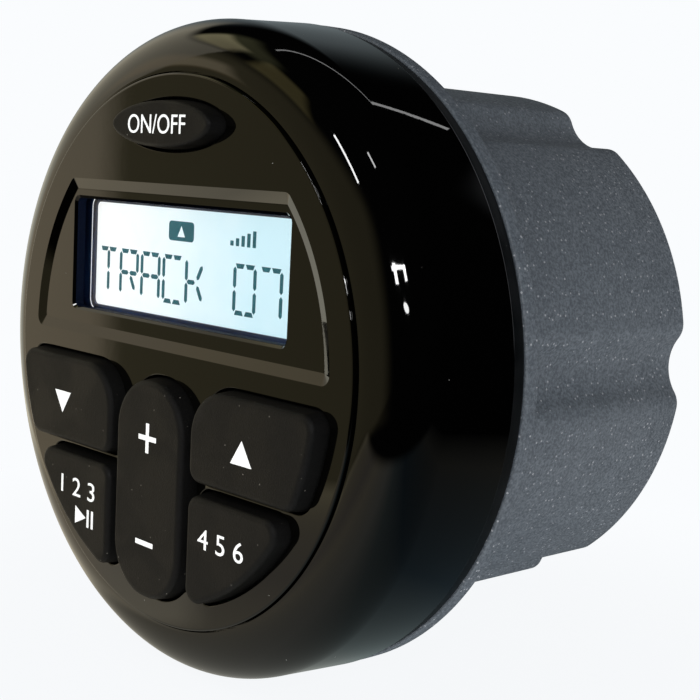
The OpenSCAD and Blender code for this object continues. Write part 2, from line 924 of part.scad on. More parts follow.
module ribbon_connectors() {
    color("#e8e4d6") facing() {
        slab(z_main, z_main + ribbon_plug[2])
            translate([0, ribbon_y]) square([ribbon_plug[0], ribbon_plug[1]], center = true);
        slab(z_board_back - ribbon_plug[2], z_board_back)
            translate([0, ribbon_y]) square([ribbon_plug[0], ribbon_plug[1]], center = true);
    }
}

// Flat cable bowed between its two plugs
module ribbon_cable() {
    low = z_main + ribbon_plug[2];
    high = z_board_back - ribbon_plug[2];
    half = (high - low) / 2;
    bow_r = (pow(half, 2) + pow(ribbon_bow, 2)) / (2 * ribbon_bow);
    color("#d9d9d2") facing() translate([ribbon_w / 2, 0, 0]) rotate([0, -90, 0])
        linear_extrude(height = ribbon_w) intersection() {
            translate([low, ribbon_y - ribbon_bow - ribbon_room])
                square([2 * half, 2 * (ribbon_bow + ribbon_room)]);
            translate([low + half, ribbon_y - ribbon_bow + bow_r]) difference() {
                circle(bow_r + ribbon_t / 2);
                circle(bow_r - ribbon_t / 2);
            }
        }
}

module harness_header() {
    color("#e8e4d6") facing() slab(z_main_back - header_size[2], z_main_back) translate([0, header_y])
        square([header_size[0], header_size[1]], center = true);
}

// Rubber gland held in the rear wall by a rim on either side
module gland(bore_d, place) {
    neck_r = bore_d / 2 + gland_wall;
    color("#191a1c") facing() at([place]) difference() {
        union() {
            bar(neck_r, z_rear - gland_out_t, z_rear_in + gland_in_t);
            bar(neck_r + gland_rim, z_rear - gland_out_t, z_rear);
            bar(neck_r + gland_rim, z_rear_in, z_rear_in + gland_in_t);
        }
        bar(bore_d / 2, z_rear - gland_out_t - cut, z_rear_in + gland_in_t + cut);
    }
}

module harness_grommet() {
    gland(harness_d, harness_pos);
}

module lead_grommet() {
    gland(lead_d, lead_pos);
}

module antenna_socket() {
    color("#b9bbb8") facing() at([antenna_pos]) difference() {
        union() {
            bar(antenna_r, z_rear - antenna_out, z_rear_in + antenna_in);
            bar(antenna_r + antenna_rim, z_rear_in, z_rear_in + antenna_rim_t);
        }
        bar(antenna_d / 2, z_rear - antenna_out - cut, z_rear_in + antenna_in - antenna_floor);
        bar(antenna_core_r, z_rear_in, z_rear_in + antenna_in + cut);
    }
}

module antenna_insulator() {
    color("#e9e6da") facing() at([antenna_pos]) difference() {
        bar(antenna_core_r - fit, z_rear_in + antenna_in - antenna_floor, z_rear_in + antenna_in);
        bar(antenna_pin_r, z_rear_in, z_rear_in + antenna_in + cut);
    }
}

module antenna_nut() {
    color("#b9bbb8") facing() at([antenna_pos]) difference() {
        translate([0, 0, z_rear - nut_t]) cylinder(r = nut_r, h = nut_t, $fn = 6);
        bar(antenna_r + fit, z_rear - nut_t - cut, z_rear + cut);
    }
}

module bracket_inserts() {
    color("#b08d3c") facing() at([[-insert_spacing / 2, 0], [insert_spacing / 2, 0]]) difference() {
        bar(insert_d / 2, z_rear, z_rear + insert_len);
        bar(insert_bore / 2, z_rear - cut, z_rear + insert_len + cut);
    }
}

front_bezel();
face_panel();
display_lens();
housing_seal();
rear_housing();
housing_screws();
power_key();
down_key();
up_key();
volume_rocker();
band_key();
mode_key();
power_key_pill();
down_key_pill();
up_key_pill();
volume_rocker_pills();
band_key_pill();
mode_key_pill();
keypad_web();
power_key_web();
contact_pads();
lcd_frame();
lcd_glass();
lcd_backlight();
display_board();
display_board_screws();
display_chip();
main_board();
main_board_screws();
control_chip();
amplifier_chip();
heat_sink();
tuner_module();
filter_capacitors();
input_choke();
ribbon_connectors();
ribbon_cable();
harness_header();
harness_grommet();
lead_grommet();
antenna_socket();
antenna_insulator();
antenna_nut();
bracket_inserts();
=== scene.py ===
"""Looks of a round marine stereo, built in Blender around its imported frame.

Places are millimetres in three directions: right, up, and out towards the user.
"""
import json
import math

import bmesh
import bpy
from mathutils import Matrix, Vector


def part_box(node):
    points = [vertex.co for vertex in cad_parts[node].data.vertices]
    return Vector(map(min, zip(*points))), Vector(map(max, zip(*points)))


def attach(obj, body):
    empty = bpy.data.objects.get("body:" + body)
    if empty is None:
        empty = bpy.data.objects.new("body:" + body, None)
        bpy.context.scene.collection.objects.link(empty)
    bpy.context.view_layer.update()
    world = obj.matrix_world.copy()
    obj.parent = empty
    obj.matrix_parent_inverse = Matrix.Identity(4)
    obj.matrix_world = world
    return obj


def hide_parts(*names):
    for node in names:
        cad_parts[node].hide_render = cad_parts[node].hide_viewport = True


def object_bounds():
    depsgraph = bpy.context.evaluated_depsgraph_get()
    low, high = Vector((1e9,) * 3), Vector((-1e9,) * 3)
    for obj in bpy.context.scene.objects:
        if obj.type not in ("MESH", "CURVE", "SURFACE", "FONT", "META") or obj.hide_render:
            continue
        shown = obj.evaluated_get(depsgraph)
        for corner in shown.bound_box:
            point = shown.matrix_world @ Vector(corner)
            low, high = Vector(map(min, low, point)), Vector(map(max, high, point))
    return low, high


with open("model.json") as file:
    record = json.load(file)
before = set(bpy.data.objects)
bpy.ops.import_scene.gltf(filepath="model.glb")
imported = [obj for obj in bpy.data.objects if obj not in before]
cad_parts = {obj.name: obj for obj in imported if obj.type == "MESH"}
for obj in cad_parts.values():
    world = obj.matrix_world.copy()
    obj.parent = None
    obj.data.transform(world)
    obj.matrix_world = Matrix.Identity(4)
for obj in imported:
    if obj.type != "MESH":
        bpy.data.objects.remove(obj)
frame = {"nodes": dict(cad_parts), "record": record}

CAD_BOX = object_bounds()
MM = 0.001


def spot(right, up, out):
    """A point of the frame from its place in millimetres."""
    return Vector((right, -out, up)) * MM


def extent(name):
    """Lowest and highest right, up and out of a frame node, in millimetres."""
    low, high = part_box(name)
    return Vector((low.x, low.z, -high.y)) / MM, Vector((high.x, high.z, -low.y)) / MM


# Sizes that the frame gives; the flange is drawn thinner by what more of the seal shows
SEAL_SHOWS = 0.5
FLANGE_R = extent("rear_housing")[1].x
FLANGE_OUT = extent("rear_housing")[1].z - SEAL_SHOWS
REAR_OUT = extent("rear_housing")[0].z
SEAL_OUT = extent("housing_seal")[1].z
SEAM_OUT = extent("front_bezel")[1].z
PANEL_R = extent("face_panel")[1].x
FACE_OUT = extent("face_panel")[1].z
PANEL_BACK = extent("display_lens")[1].z
KEY_TOP = extent("up_key")[1].z
GLASS_OUT = extent("lcd_glass")[1].z
FRAME_OUT = extent("lcd_frame")[1].z
SOCKET_LOW, SOCKET_HIGH = extent("antenna_socket")
SCREW_LOW, SCREW_HIGH = extent("housing_screws")

# Bezel, seal and seam
SEAM_GAP = 0.25
SEAM_ROUND = 0.3
SHOULDER_R = 8.1
BEZEL_DRAFT = 0.7
BEZEL_WALL = 2.4
LEDGE_IN = 2.15
LEDGE_T = 2.0
FOOT_ROUND = 0.35
SEAL_IN = 8.0
SEAL_STEP = 0.35
SEAL_ROUND = 0.25

# Face panel: display recess, window and lips of the openings
PANEL_EDGE = 0.35
RECESS_R = 35.9
RECESS_LOW = 0.3
RECESS_HIGH = 24.56
RECESS_CORNER = 1.6
RECESS_SLOPE = 1.6
RECESS_DEPTH = 0.6
WINDOW_UP = 12.9
WINDOW_W = 52.2
WINDOW_H = 17.2
WINDOW_CORNER = 0.9
WINDOW_BEVEL = 0.4
OPENING_LIP = 0.22
OPENING_GAP = 0.3
FLAT_RIM = 0.12
LIP_RIM = 0.06

# Display: lit area, inner and outer reach of the light line round it, and the painted-shade film on the
# window's walls
VIEW_W = 49.2
VIEW_H = 16.2
EDGE_LINE = (0.78, 0.91)
MASK_GAP = 0.02
MASK_IN = 0.06

# Keys
KEY_ARC_R = 36.5
KEY_CORNER = 2.5
KEY_EDGE = 0.9
POWER_EDGE = 0.6
KEY_DRAFT = 0.25
KEY_BACK = 21.9
KEYS_HIGH = -3.0
SEEK_LOW = -16.9
SEEK_CORNER = 7.0
MODE_HIGH = -18.1
SIDE_IN = 9.7
ROCKER_W = 17.0
ROCKER_HIGH = -3.6
ROCKER_LOW = -36.5
ROCKER_CORNER = 8.0
POWER_UP = 33.0
POWER_W = 24.2
POWER_H = 7.1

# Printing, with the clearance that it leaves below the frame's key top
INK_T = 0.04
INK_CLEAR = 0.02
CAP_TOP = KEY_TOP - INK_T - INK_CLEAR

# Rear housing
CAN_R = 42.3
CAN_WALL = 2.4
FLUTES = 6
HOLLOW_R = 7.0
HOLLOW_AT = 46.66
LIP_R = 3.5
SCREW_RING_R = 44.6
ROOT_ROUND = 0.5
REAR_EDGE = 0.8
FLANGE_EDGE = 0.35
REAR_WALL = 2.6
COUNTERBORE_R = 2.8
COUNTERBORE_OUT = 1.8
BORE_CHAMFER = 0.15
BORE_RIM = 0.05
SCREW_HOLE_R = 1.6
SHANK_R = 1.5
HEAD_R = 2.5
HEAD_ROUND = 0.5
CROSS_REACH = 1.35
CROSS_HALF = 0.34
CROSS_DEEP = 0.9
CROSS_TAPER = 0.12

# Rear fittings: place, bore, neck and rim of the glands, then the threaded ones
HARNESS_GLAND = ((0.0, -20.0), 5.0, 7.5, 9.5)
LEAD_GLAND = ((-10.0, 16.0), 3.0, 5.5, 7.5)
GLAND_STANDS = 2.2
GLAND_INSIDE = 1.8
GLAND_MOUTH = 0.8
INNER_RIM_STEP = 0.4
INNER_RIM_TAPER = 0.8
SOCKET_PLACE = (10.0, 16.0)
SOCKET_BORE = 4.6
SOCKET_MOUTH = 0.4
SOCKET_EDGE = 0.5
NUT_R = 7.9
NUT_T = 3.0
NUT_SIDES = 6
NUT_CHAMFER = 0.4
THREAD_PITCH = 0.8
THREAD_DEEP = 0.3
THREAD_FROM = 0.6
INSERT_PLACES = ((-28.0, 0.0), (28.0, 0.0))
INSERT_R = 3.2
INSERT_BORE = 2.1
INSERT_LONG = 8.0
INSERT_MOUTH = 0.5

# Steps of round shapes, the angle from which an edge is sharp, and when two points count as one
ARC_STEPS = 14
ROUND_STEPS = 8
SMALL_STEPS = 6
SEAL_STEPS = 5
KEY_STEPS = 10
SHOULDER_STEPS = 40
INNER_STEPS = 12
TURN_STEPS = 256
HOLE_STEPS = 48
FITTING_STEPS = 96
INSERT_STEPS = 64
SHARP_ANGLE = math.radians(16)
SAME_PLACE = 1e-4


# Outlines: closed runs of (right, up) points, counter-clockwise seen by the user

def arc(centre, radius, start, end, steps=ARC_STEPS):
    """Points along an arc between two angles in degrees."""
    angles = [math.radians(start + (end - start) * i / steps) for i in range(steps + 1)]
    return [(centre[0] + radius * math.cos(a), centre[1] + radius * math.sin(a)) for a in angles]


def closed(*runs):
    """One outline from runs of points, without points that lie on each other."""
    kept = []
    for point in (p for run in runs for p in run):
        if not kept or math.dist(point, kept[-1]) > SAME_PLACE:
            kept.append(point)
    return kept if math.dist(kept[0], kept[-1]) > SAME_PLACE else kept[:-1]


def circle(centre, radius, steps=HOLE_STEPS):
    return closed(arc(centre, radius, 0, 360, steps))


def ellipse(centre, width, height):
    return [(centre[0] + x * width / 2, centre[1] + y * height / 2)
            for x, y in circle((0, 0), 1, 2 * HOLE_STEPS)]


def rounded_box(centre, width, height, corner):
    """A rectangle with rounded corners."""
    x, y = width / 2 - corner, height / 2 - corner
    corners = ((x, y, 0), (-x, y, 90), (-x, -y, 180), (x, -y, 270))
    return closed(*[arc((centre[0] + dx, centre[1] + dy), corner, a, a + 90) for dx, dy, a in corners])


def mirrored(outline):
    return [(-x, y) for x, y in reversed(outline)]


def repeated(run, count, centre=(0, 0)):
    """An outline from a run of points, turned about a centre so many times."""
    turns = [Matrix.Rotation(math.radians(360 * k / count), 2) for k in range(count)]
    return closed([tuple(turn @ Vector(p) + Vector(centre)) for turn in turns for p in run])


def cross(centre, reach, half):
    """A cross, from the reach of its arms and half their width."""
    return repeated([(reach, -half), (reach, half), (half, half)], 4, centre)


def grown(outline, amount):
    """The outline moved outwards by an amount, or inwards where it is negative."""
    points = [Vector(p) for p in outline]
    moved = []
    for i, here in enumerate(points):
        before = (here - points[i - 1]).normalized()
        after = (points[(i + 1) % len(points)] - here).normalized()
        side_before, side_after = Vector((before.y, -before.x)), Vector((after.y, -after.x))
        reach = amount / (1 + side_before.dot(side_after))
        moved.append(tuple(here + (side_before + side_after) * reach))
    return moved


def level_corner(radius, corner, level):
    """Centre and arc angle of a corner that joins a level side to an arc about the axis."""
    across = math.sqrt((radius - corner) ** 2 - level ** 2)
    return (across, level), math.degrees(math.atan2(level, across))


def round_side(radius, corner, low, high, steps=ARC_STEPS):
    """The right end of an outline: an arc about the axis, rounded into two level sides."""
    low_at, low_turn = level_corner(radius, corner, low + corner)
    high_at, high_turn = level_corner(radius, corner, high - corner)
    return closed(
        arc(low_at, corner, -90, low_turn),
        arc((0, 0), radius, low_turn, high_turn, steps),
        arc(high_at, corner, high_turn, 90))


def seek_outline():
    """The right seek key: straight towards the rocker, round along the outer arc."""
    return closed(
        arc((SIDE_IN + KEY_CORNER, SEEK_LOW + KEY_CORNER), KEY_CORNER, 180, 270),
        round_side(KEY_ARC_R, KEY_CORNER, SEEK_LOW, KEYS_HIGH),
        arc((SIDE_IN + SEEK_CORNER, KEYS_HIGH - SEEK_CORNER), SEEK_CORNER, 90, 180))


def mode_outline():
    """The right lower key, a corner piece under the seek key."""
    high, high_turn = level_corner(KEY_ARC_R, KEY_CORNER, MODE_HIGH - KEY_CORNER)
    low = (SIDE_IN + KEY_CORNER, -math.sqrt((KEY_ARC_R - KEY_CORNER) ** 2 - (SIDE_IN + KEY_CORNER) ** 2))
    low_turn = math.degrees(math.atan2(low[1], low[0]))
    return closed(
        arc(low, KEY_CORNER, -180, low_turn),
        arc((0, 0), KEY_ARC_R, low_turn, high_turn),
        arc(high, KEY_CORNER, high_turn, 90),
        arc((SIDE_IN + KEY_CORNER, MODE_HIGH - KEY_CORNER), KEY_CORNER, 90, 180))


def recess_outline():
    """The display recess: level above and below, with round ends along the bezel."""
    right = round_side(RECESS_R, RECESS_CORNER, RECESS_LOW, RECESS_HIGH, 3 * ARC_STEPS)
    return closed(right, mirrored(right))


def can_outline():
    """The housing can: round lobes, rounded lips and a hollow over each screw."""
    lip_at = CAN_R - LIP_R
    reach = LIP_R + HOLLOW_R
    swing = math.acos((HOLLOW_AT ** 2 + lip_at ** 2 - reach ** 2) / (2 * HOLLOW_AT * lip_at))
    lean = math.degrees(math.atan2(lip_at * math.sin(swing), HOLLOW_AT - lip_at * math.cos(swing)))
    lip = (lip_at * math.cos(swing), lip_at * math.sin(swing))
    swing = math.degrees(swing)
    pitch = 360 / FLUTES
    flute = closed(
        arc((lip[0], -lip[1]), LIP_R, -swing, lean),
        arc((HOLLOW_AT, 0), HOLLOW_R, 180 + lean, 180 - lean, 2 * ARC_STEPS),
        arc(lip, LIP_R, -lean, swing),
        arc((0, 0), CAN_R, swing, pitch - swing, 3 * ARC_STEPS))
    return repeated(flute, FLUTES)


# Mesh making

def ring(bm, outline, out):
    return [bm.verts.new(spot(x, y, out)) for x, y in outline]


def bridge(bm, first, second):
    """Faces between two rings of the same count."""
    for i in range(len(first)):
        j = (i + 1) % len(first)
        bm.faces.new((first[i], first[j], second[j], second[i]))


def skin(bm, outline, layers):
    """Walls through (grow, out) layers of an outline; gives the first and last ring."""
    rings = [ring(bm, grown(outline, grow) if grow else outline, out) for grow, out in layers]
    for first, second in zip(rings, rings[1:]):
        bridge(bm, first, second)
    return rings[0], rings[-1]


def fill(bm, *rings):
    """A flat face inside the first ring, with the other rings as holes."""
    edges = []
    for verts in rings:
        for i, here in enumerate(verts):
            pair = (here, verts[i - 1])
            edges.append(bm.edges.get(pair) or bm.edges.new(pair))
    bmesh.ops.triangle_fill(bm, use_beauty=True, use_dissolve=False, edges=edges)


def round_off(radius, out, grow=0.0, steps=ROUND_STEPS, rim=FLAT_RIM):
    """Layers of a convex edge that ends flat at out, and a narrow flat rim."""
    layers = []
    for i in range(steps + 1):
        turn = math.radians(90 * i / steps)
        layers.append((grow - radius * (1 - math.cos(turn)), out - radius * (1 - math.sin(turn))))
    return layers + [(grow - radius - rim, out)]


def round_lip(radius, out):
    """Layers of an opening's rounded edge, from the flat face down into the opening."""
    return [(-grow, level) for grow, level in reversed(round_off(radius, out, rim=LIP_RIM))]


def facing_rear(layers, out):
    """Layers turned over, so that an edge that ended flat at out looks to the rear."""
    return [(grow, 2 * out - level) for grow, level in layers]


def placed(name, data):
    """A new object in the scene."""
    item = bpy.data.objects.new(name, data)
    bpy.context.scene.collection.objects.link(item)
    return item


def piece(name, bm, slot, *nodes, body="chassis", finish=None):
    """Makes a mesh a named piece that rides on a body and stands for frame nodes."""
    bmesh.ops.recalc_face_normals(bm, faces=bm.faces)
    mesh = bpy.data.meshes.new(name)
    bm.to_mesh(mesh)
    bm.free()
    mesh.shade_smooth()
    mesh.set_sharp_from_angle(angle=SHARP_ANGLE)
    mesh.materials.append(finish or FINISHES[slot])
    item = placed(name, mesh)
    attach(item, body)
    if nodes:
        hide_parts(*nodes)


def turned(name, section, slot, node_name, centres=((0, 0),), steps=TURN_STEPS):
    """A piece from a (radius, out) section, turned round an axis at each of its centres."""
    bm = bmesh.new()
    for centre in centres:
        rings = [ring(bm, circle(centre, radius, steps), out) for radius, out in closed(section)]
        for first, second in zip(rings, rings[1:] + rings[:1]):
            bridge(bm, first, second)
    piece(name, bm, slot, node_name)


# Shader node groups for effects that several finishes share

def feed(tree, socket, value):
    """Links a socket to another one, or sets it to a constant."""
    if isinstance(value, bpy.types.NodeSocket):
        tree.links.new(value, socket)
    else:
        socket.default_value = value


def node(tree, kind, values=None, **settings):
    """A new node with its settings and inputs."""
    made = tree.nodes.new(kind)
    for name, value in settings.items():
        setattr(made, name, value)
    for name, value in (values or {}).items():
        feed(tree, made.inputs[name], value)
    return made


def sums(tree, operation, first, second=0.0, third=0.0):
    """The result of a math node."""
    return node(tree, "ShaderNodeMath", {0: first, 1: second, 2: third}, operation=operation).outputs[0]


def vectors(tree, operation, values):
    """The outputs of a vector math node."""
    return node(tree, "ShaderNodeVectorMath", values, operation=operation).outputs


def noise(tree, place, scale=1.0, **values):
    """Soft noise at a place."""
    return node(tree, "ShaderNodeTexNoise", {"Vector": place, "Scale": scale, **values}).outputs[0]


def ramp(tree, value, low, high, to_low=0.0, to_high=1.0):
    """A value carried smoothly from one range to another."""
    values = {"Value": value, "From Min": low, "From Max": high, "To Min": to_low, "To Max": to_high}
    return node(tree, "ShaderNodeMapRange", values, interpolation_type="SMOOTHSTEP").outputs["Result"]


def between(tree, mask, low, high):
    """A value that goes smoothly from low to high along a mask."""
    return ramp(tree, mask, 0.0, 1.0, low, high)


def new_group(name, inputs, outputs):
    """An empty node group with number inputs and outputs, and its two ends."""
    group = bpy.data.node_groups.new(name, "ShaderNodeTree")
    for label, value in inputs.items():
        socket = group.interface.new_socket(label, in_out="INPUT", socket_type="NodeSocketFloat")
        socket.default_value = value
    for label in outputs:
        group.interface.new_socket(label, in_out="OUTPUT", socket_type="NodeSocketFloat")
    return group, group.nodes.new("NodeGroupInput").outputs, group.nodes.new("NodeGroupOutput").inputs


def in_millimetres(tree, size=1.0, stretch=None):
    """Object coordinates counted in sizes of so many millimetres."""
    place = tree.nodes.new("ShaderNodeTexCoord").outputs["Object"]
    if stretch:
        place = vectors(tree, "MULTIPLY", {0: place, 1: stretch})[0]
    return vectors(tree, "SCALE", {0: place, "Scale": sums(tree, "DIVIDE", 1 / MM, size)})[0]


def make_spark_grain():
    """Moulded spark grain: a speckle for colour and a height for bump."""
    group, given, made = new_group("spark_grain", {"Grain": 0.4}, ("Speckle", "Height"))
    place = in_millimetres(group, given["Grain"])
    pits = noise(group, place, Detail=2.0, Roughness=0.65)
    blotch = noise(group, place, 0.16, Detail=1.0)
    cells = node(group, "ShaderNodeTexVoronoi", {"Vector": place, "Scale": 0.8}, feature="SMOOTH_F1")
    feed(group, made["Height"], sums(group, "ADD", pits, cells.outputs["Distance"]))
    speckle = sums(group, "MULTIPLY_ADD", blotch, 0.12, sums(group, "MULTIPLY", pits, 0.9))
    feed(group, made["Speckle"], ramp(group, speckle, 0.34, 0.7))
    return group


def make_dust_and_glints():
    """Sparse light flecks: dust lying on a surface, and on the housing painted glints of its grain."""
    group, given, made = new_group("dust", {"Spacing": 2.0, "Size": 0.12, "Share": 0.3}, ("Mask",))
    place = in_millimetres(group, given["Spacing"])
    cells = node(group, "ShaderNodeTexVoronoi", {"Vector": place, "Scale": 1.0})
    reach = sums(group, "DIVIDE", given["Size"], given["Spacing"])
    near = sums(group, "LESS_THAN", cells.outputs["Distance"], reach)
    pick = node(group, "ShaderNodeSeparateColor", {0: cells.outputs["Color"]}).outputs["Red"]
    feed(group, made["Mask"], sums(group, "MULTIPLY", near, sums(group, "LESS_THAN", pick, given["Share"])))
    return group


def make_smudge():
    """Broad soft patches, from handling and from moulding."""
    group, given, made = new_group("smudge", {"Size": 12.0}, ("Mask",))
    cloud = noise(group, in_millimetres(group, given["Size"]), Detail=4.0, Distortion=0.6)
    feed(group, made["Mask"], ramp(group, cloud, 0.3, 0.7))
    return group


def make_hairlines():
    """Long fine lines along the right direction: brushing or wiping marks."""
    group, given, made = new_group("hairlines", {"Width": 0.15}, ("Mask",))
    lines = noise(group, in_millimetres(group, given["Width"], (0.02, 1, 1)), Detail=2.0)
    feed(group, made["Mask"], ramp(group, lines, 0.35, 0.7))
    return group


def make_worn_edge():
    """Outer edges of a mesh, where rubbing shows first."""
    group, given, made = new_group("worn_edge", {"Amount": 0.5}, ("Mask",))
    edge = group.nodes.new("ShaderNodeNewGeometry").outputs["Pointiness"]
    patch = noise(group, in_millimetres(group, 3.0), Detail=3.0)
    worn = sums(group, "MULTIPLY", ramp(group, edge, 0.52, 0.62), ramp(group, patch, 0.35, 0.65))
    feed(group, made["Mask"], sums(group, "MULTIPLY", worn, given["Amount"]))
    return group


GROUPS = {
    "grain": make_spark_grain(),
    "dust": make_dust_and_glints(),
    "smudge": make_smudge(),
    "hairlines": make_hairlines(),
    "edge": make_worn_edge(),
}


# Finishes

def new_finish(name, **constants):
    """A material, its node tree and its shader, with constants on the shader's own sockets."""
    material = bpy.data.materials.new(name)
    material.use_nodes = True
    shader = material.node_tree.nodes["Principled BSDF"]
    for label, value in constants.items():
        shader.inputs[label.replace("_", " ")].default_value = value
    return material, material.node_tree, shader


def effect(tree, name, output="Mask", **values):
    """An output of a shared node group, placed with its own values."""
    group = node(tree, "ShaderNodeGroup", node_tree=GROUPS[name])
    for label, value in values.items():
        group.inputs[label].default_value = value
    return group.outputs[output]


def blend(tree, mask, first, second):
    """A colour that goes from the first to the second along a mask."""
    factor, colour_a, colour_b, result = 0, 6, 7, 2
    mix = node(tree, "ShaderNodeMix", data_type="RGBA")
    for place, value in ((factor, mask), (colour_a, first), (colour_b, second)):
        feed(tree, mix.inputs[place], value if isinstance(value, bpy.types.NodeSocket) else (*value, 1.0))
    return mix.outputs[result]


def surface(tree, shader, **inputs):
    """Links or sets inputs of a shader."""
    for label, value in inputs.items():
        feed(tree, shader.inputs[label.replace("_", " ")], value)


def bump(tree, shader, height, distance):
    """A bump of so many millimetres on the shader's normal."""
    made = node(tree, "ShaderNodeBump", {"Height": height, "Distance": distance * MM, "Strength": 1.0})
    surface(tree, shader, Normal=made.outputs["Normal"])


def places(tree):
    """Place on the object in millimetres, along X, Y and Z."""
    return node(tree, "ShaderNodeSeparateXYZ", {0: in_millimetres(tree)}).outputs


def gloss_black(name, colour, ripple):
    """High-gloss moulding: faint orange peel, wiping marks and a little dust."""
    material, tree, shader = new_finish(name, IOR=1.5)
    fleck = (0.16, 0.155, 0.14)
    dust = effect(tree, "dust", Spacing=3.2, Size=0.09, Share=0.22)
    handled = between(tree, effect(tree, "smudge", Size=14.0), 0.012, 0.03)
    wiped = between(tree, effect(tree, "hairlines", Width=0.2), 0.0, 0.01)
    haze = sums(tree, "ADD", handled, wiped)
    surface(tree, shader, Base_Color=blend(tree, dust, colour, fleck),
            Roughness=sums(tree, "MULTIPLY_ADD", dust, 0.5, haze))
    bump(tree, shader, effect(tree, "smudge", Size=5.0), ripple)
    return material


def key_rubber():
    """Matte charcoal rubber with fine tooth, dust flecks and rubbed edges."""
    material, tree, shader = new_finish("key_rubber_matte", IOR=1.25)
    dark, light = (0.0035, 0.0035, 0.0035), (0.0065, 0.0063, 0.006)
    rubbed, fleck = (0.02, 0.02, 0.021), (0.16, 0.15, 0.13)
    base = blend(tree, effect(tree, "grain", "Speckle", Grain=0.18), dark, light)
    base = blend(tree, effect(tree, "edge", Amount=0.15), base, rubbed)
    dust = effect(tree, "dust", Spacing=1.3, Size=0.09, Share=0.3)
    surface(tree, shader, Base_Color=blend(tree, dust, base, fleck),
            Roughness=between(tree, effect(tree, "smudge", Size=9.0), 0.48, 0.58))
    bump(tree, shader, effect(tree, "grain", "Height", Grain=0.16), 0.025)
    return material


def housing_grain():
    """Spark-grained grey moulding with light and dark speckle and painted glints, and painted shade at its
    root by the flange as coarser, darker speckle.
    """
    material, tree, shader = new_finish("housing_spark_grain", IOR=1.5)
    dark, light, clouded = (0.05, 0.061, 0.074), (0.107, 0.123, 0.141), (0.105, 0.116, 0.13)
    root_shade, sparkle = (0.035, 0.045, 0.06), (0.24, 0.25, 0.27)
    speckle = effect(tree, "grain", "Speckle", Grain=0.42)
    cloud = sums(tree, "MULTIPLY", effect(tree, "smudge", Size=22.0), 0.12)
    # painted shade: coarse dark speckle that thickens towards the flange, where the can meets it
    root = ramp(tree, places(tree)["Y"], 6.0, 34.0, 0.32, 0.0)
    coarse = sums(tree, "MULTIPLY", effect(tree, "grain", "Speckle", Grain=0.8), root)
    # painted glints: bright specks of the fleck pattern that stand for the grain catching light
    glint = effect(tree, "dust", Spacing=0.75, Size=0.16, Share=0.3)
    base = blend(tree, speckle, dark, light)
    base = blend(tree, cloud, base, clouded)
    base = blend(tree, coarse, base, root_shade)
    surface(tree, shader, Base_Color=blend(tree, glint, base, sparkle),
            Roughness=between(tree, speckle, 0.6, 0.48))
    bump(tree, shader, effect(tree, "grain", "Height", Grain=0.42), 0.06)
    return material


def plain_rubber(name, dark, light, rough):
    """Moulded rubber with a fine bloom."""
    material, tree, shader = new_finish(name, IOR=1.45)
    fleck = (0.14, 0.14, 0.135)
    bloom = effect(tree, "smudge", Size=4.0)
    dust = effect(tree, "dust", Spacing=1.8, Size=0.1, Share=0.25)
    base = blend(tree, bloom, dark, light)
    surface(tree, shader, Base_Color=blend(tree, dust, base, fleck),
            Roughness=between(tree, bloom, rough - 0.06, rough + 0.06))
    bump(tree, shader, effect(tree, "grain", "Height", Grain=0.2), 0.012)
    return material


def clear_window():
    """Clear polished window with faint wiping marks."""
    material, tree, shader = new_finish(
        "window_clear", Base_Color=(1, 1, 1, 1), IOR=1.22, Transmission_Weight=1.0)
    surface(tree, shader, Roughness=between(tree, effect(tree, "smudge", Size=6.0), 0.0, 0.012))
    return material


def lit_display():
    """Backlit display glass: white on the left, cooler and dimmer towards the right."""
    material, tree, shader = new_finish("display_lit", Roughness=0.3, Emission_Strength=1.0)
    across = sums(tree, "MULTIPLY", ramp(tree, places(tree)["X"], -26.0, 22.0), 0.95)
    cool = sums(tree, "MULTIPLY_ADD", effect(tree, "smudge", Size=7.0), 0.1, across)
    surface(tree, shader, Emission_Color=blend(tree, cool, (0.95, 0.97, 0.96), (0.56, 0.79, 0.86)),
            Base_Color=blend(tree, cool, (0.1, 0.11, 0.12), (0.05, 0.08, 0.1)))
    return material


def printed_ink(name, colour, faint, glow=0.0, shine=0.5):
    """Ink, a little thinner in places, that lets some light through from behind."""
    material, tree, shader = new_finish(name, IOR=1.45, Emission_Strength=glow, Specular_IOR_Level=shine)
    thin = effect(tree, "grain", "Speckle", Grain=0.3)
    shade = blend(tree, thin, colour, faint)
    surface(tree, shader, Base_Color=shade, Emission_Color=shade, Roughness=between(tree, thin, 0.5, 0.62))
    return material


def plain_metal(name, colour, shade, rough):
    """Drawn or turned metal with fine lines and dull patches."""
    material, tree, shader = new_finish(name, Metallic=1.0)
    lines = effect(tree, "hairlines", Width=0.12)
    dull = sums(tree, "MULTIPLY", effect(tree, "smudge", Size=3.0), 0.5)
    surface(tree, shader, Base_Color=blend(tree, dull, colour, shade),
            Roughness=sums(tree, "MULTIPLY_ADD", lines, 0.14, rough))
    bump(tree, shader, lines, 0.01)
    return material


def moulded(name, light, dark, rough):
    """Plain moulded plastic with a fine grain and soft patches."""
    material, tree, shader = new_finish(name, IOR=1.47)
    speckle = sums(tree, "MULTIPLY", effect(tree, "grain", "Speckle", Grain=0.25), 0.4)
    tone = sums(tree, "MULTIPLY_ADD", effect(tree, "smudge", Size=5.0), 0.6, speckle)
    surface(tree, shader, Base_Color=blend(tree, tone, dark, light),
            Roughness=between(tree, tone, rough - 0.07, rough + 0.07))
    bump(tree, shader, effect(tree, "grain", "Height", Grain=0.25), 0.015)
    return material


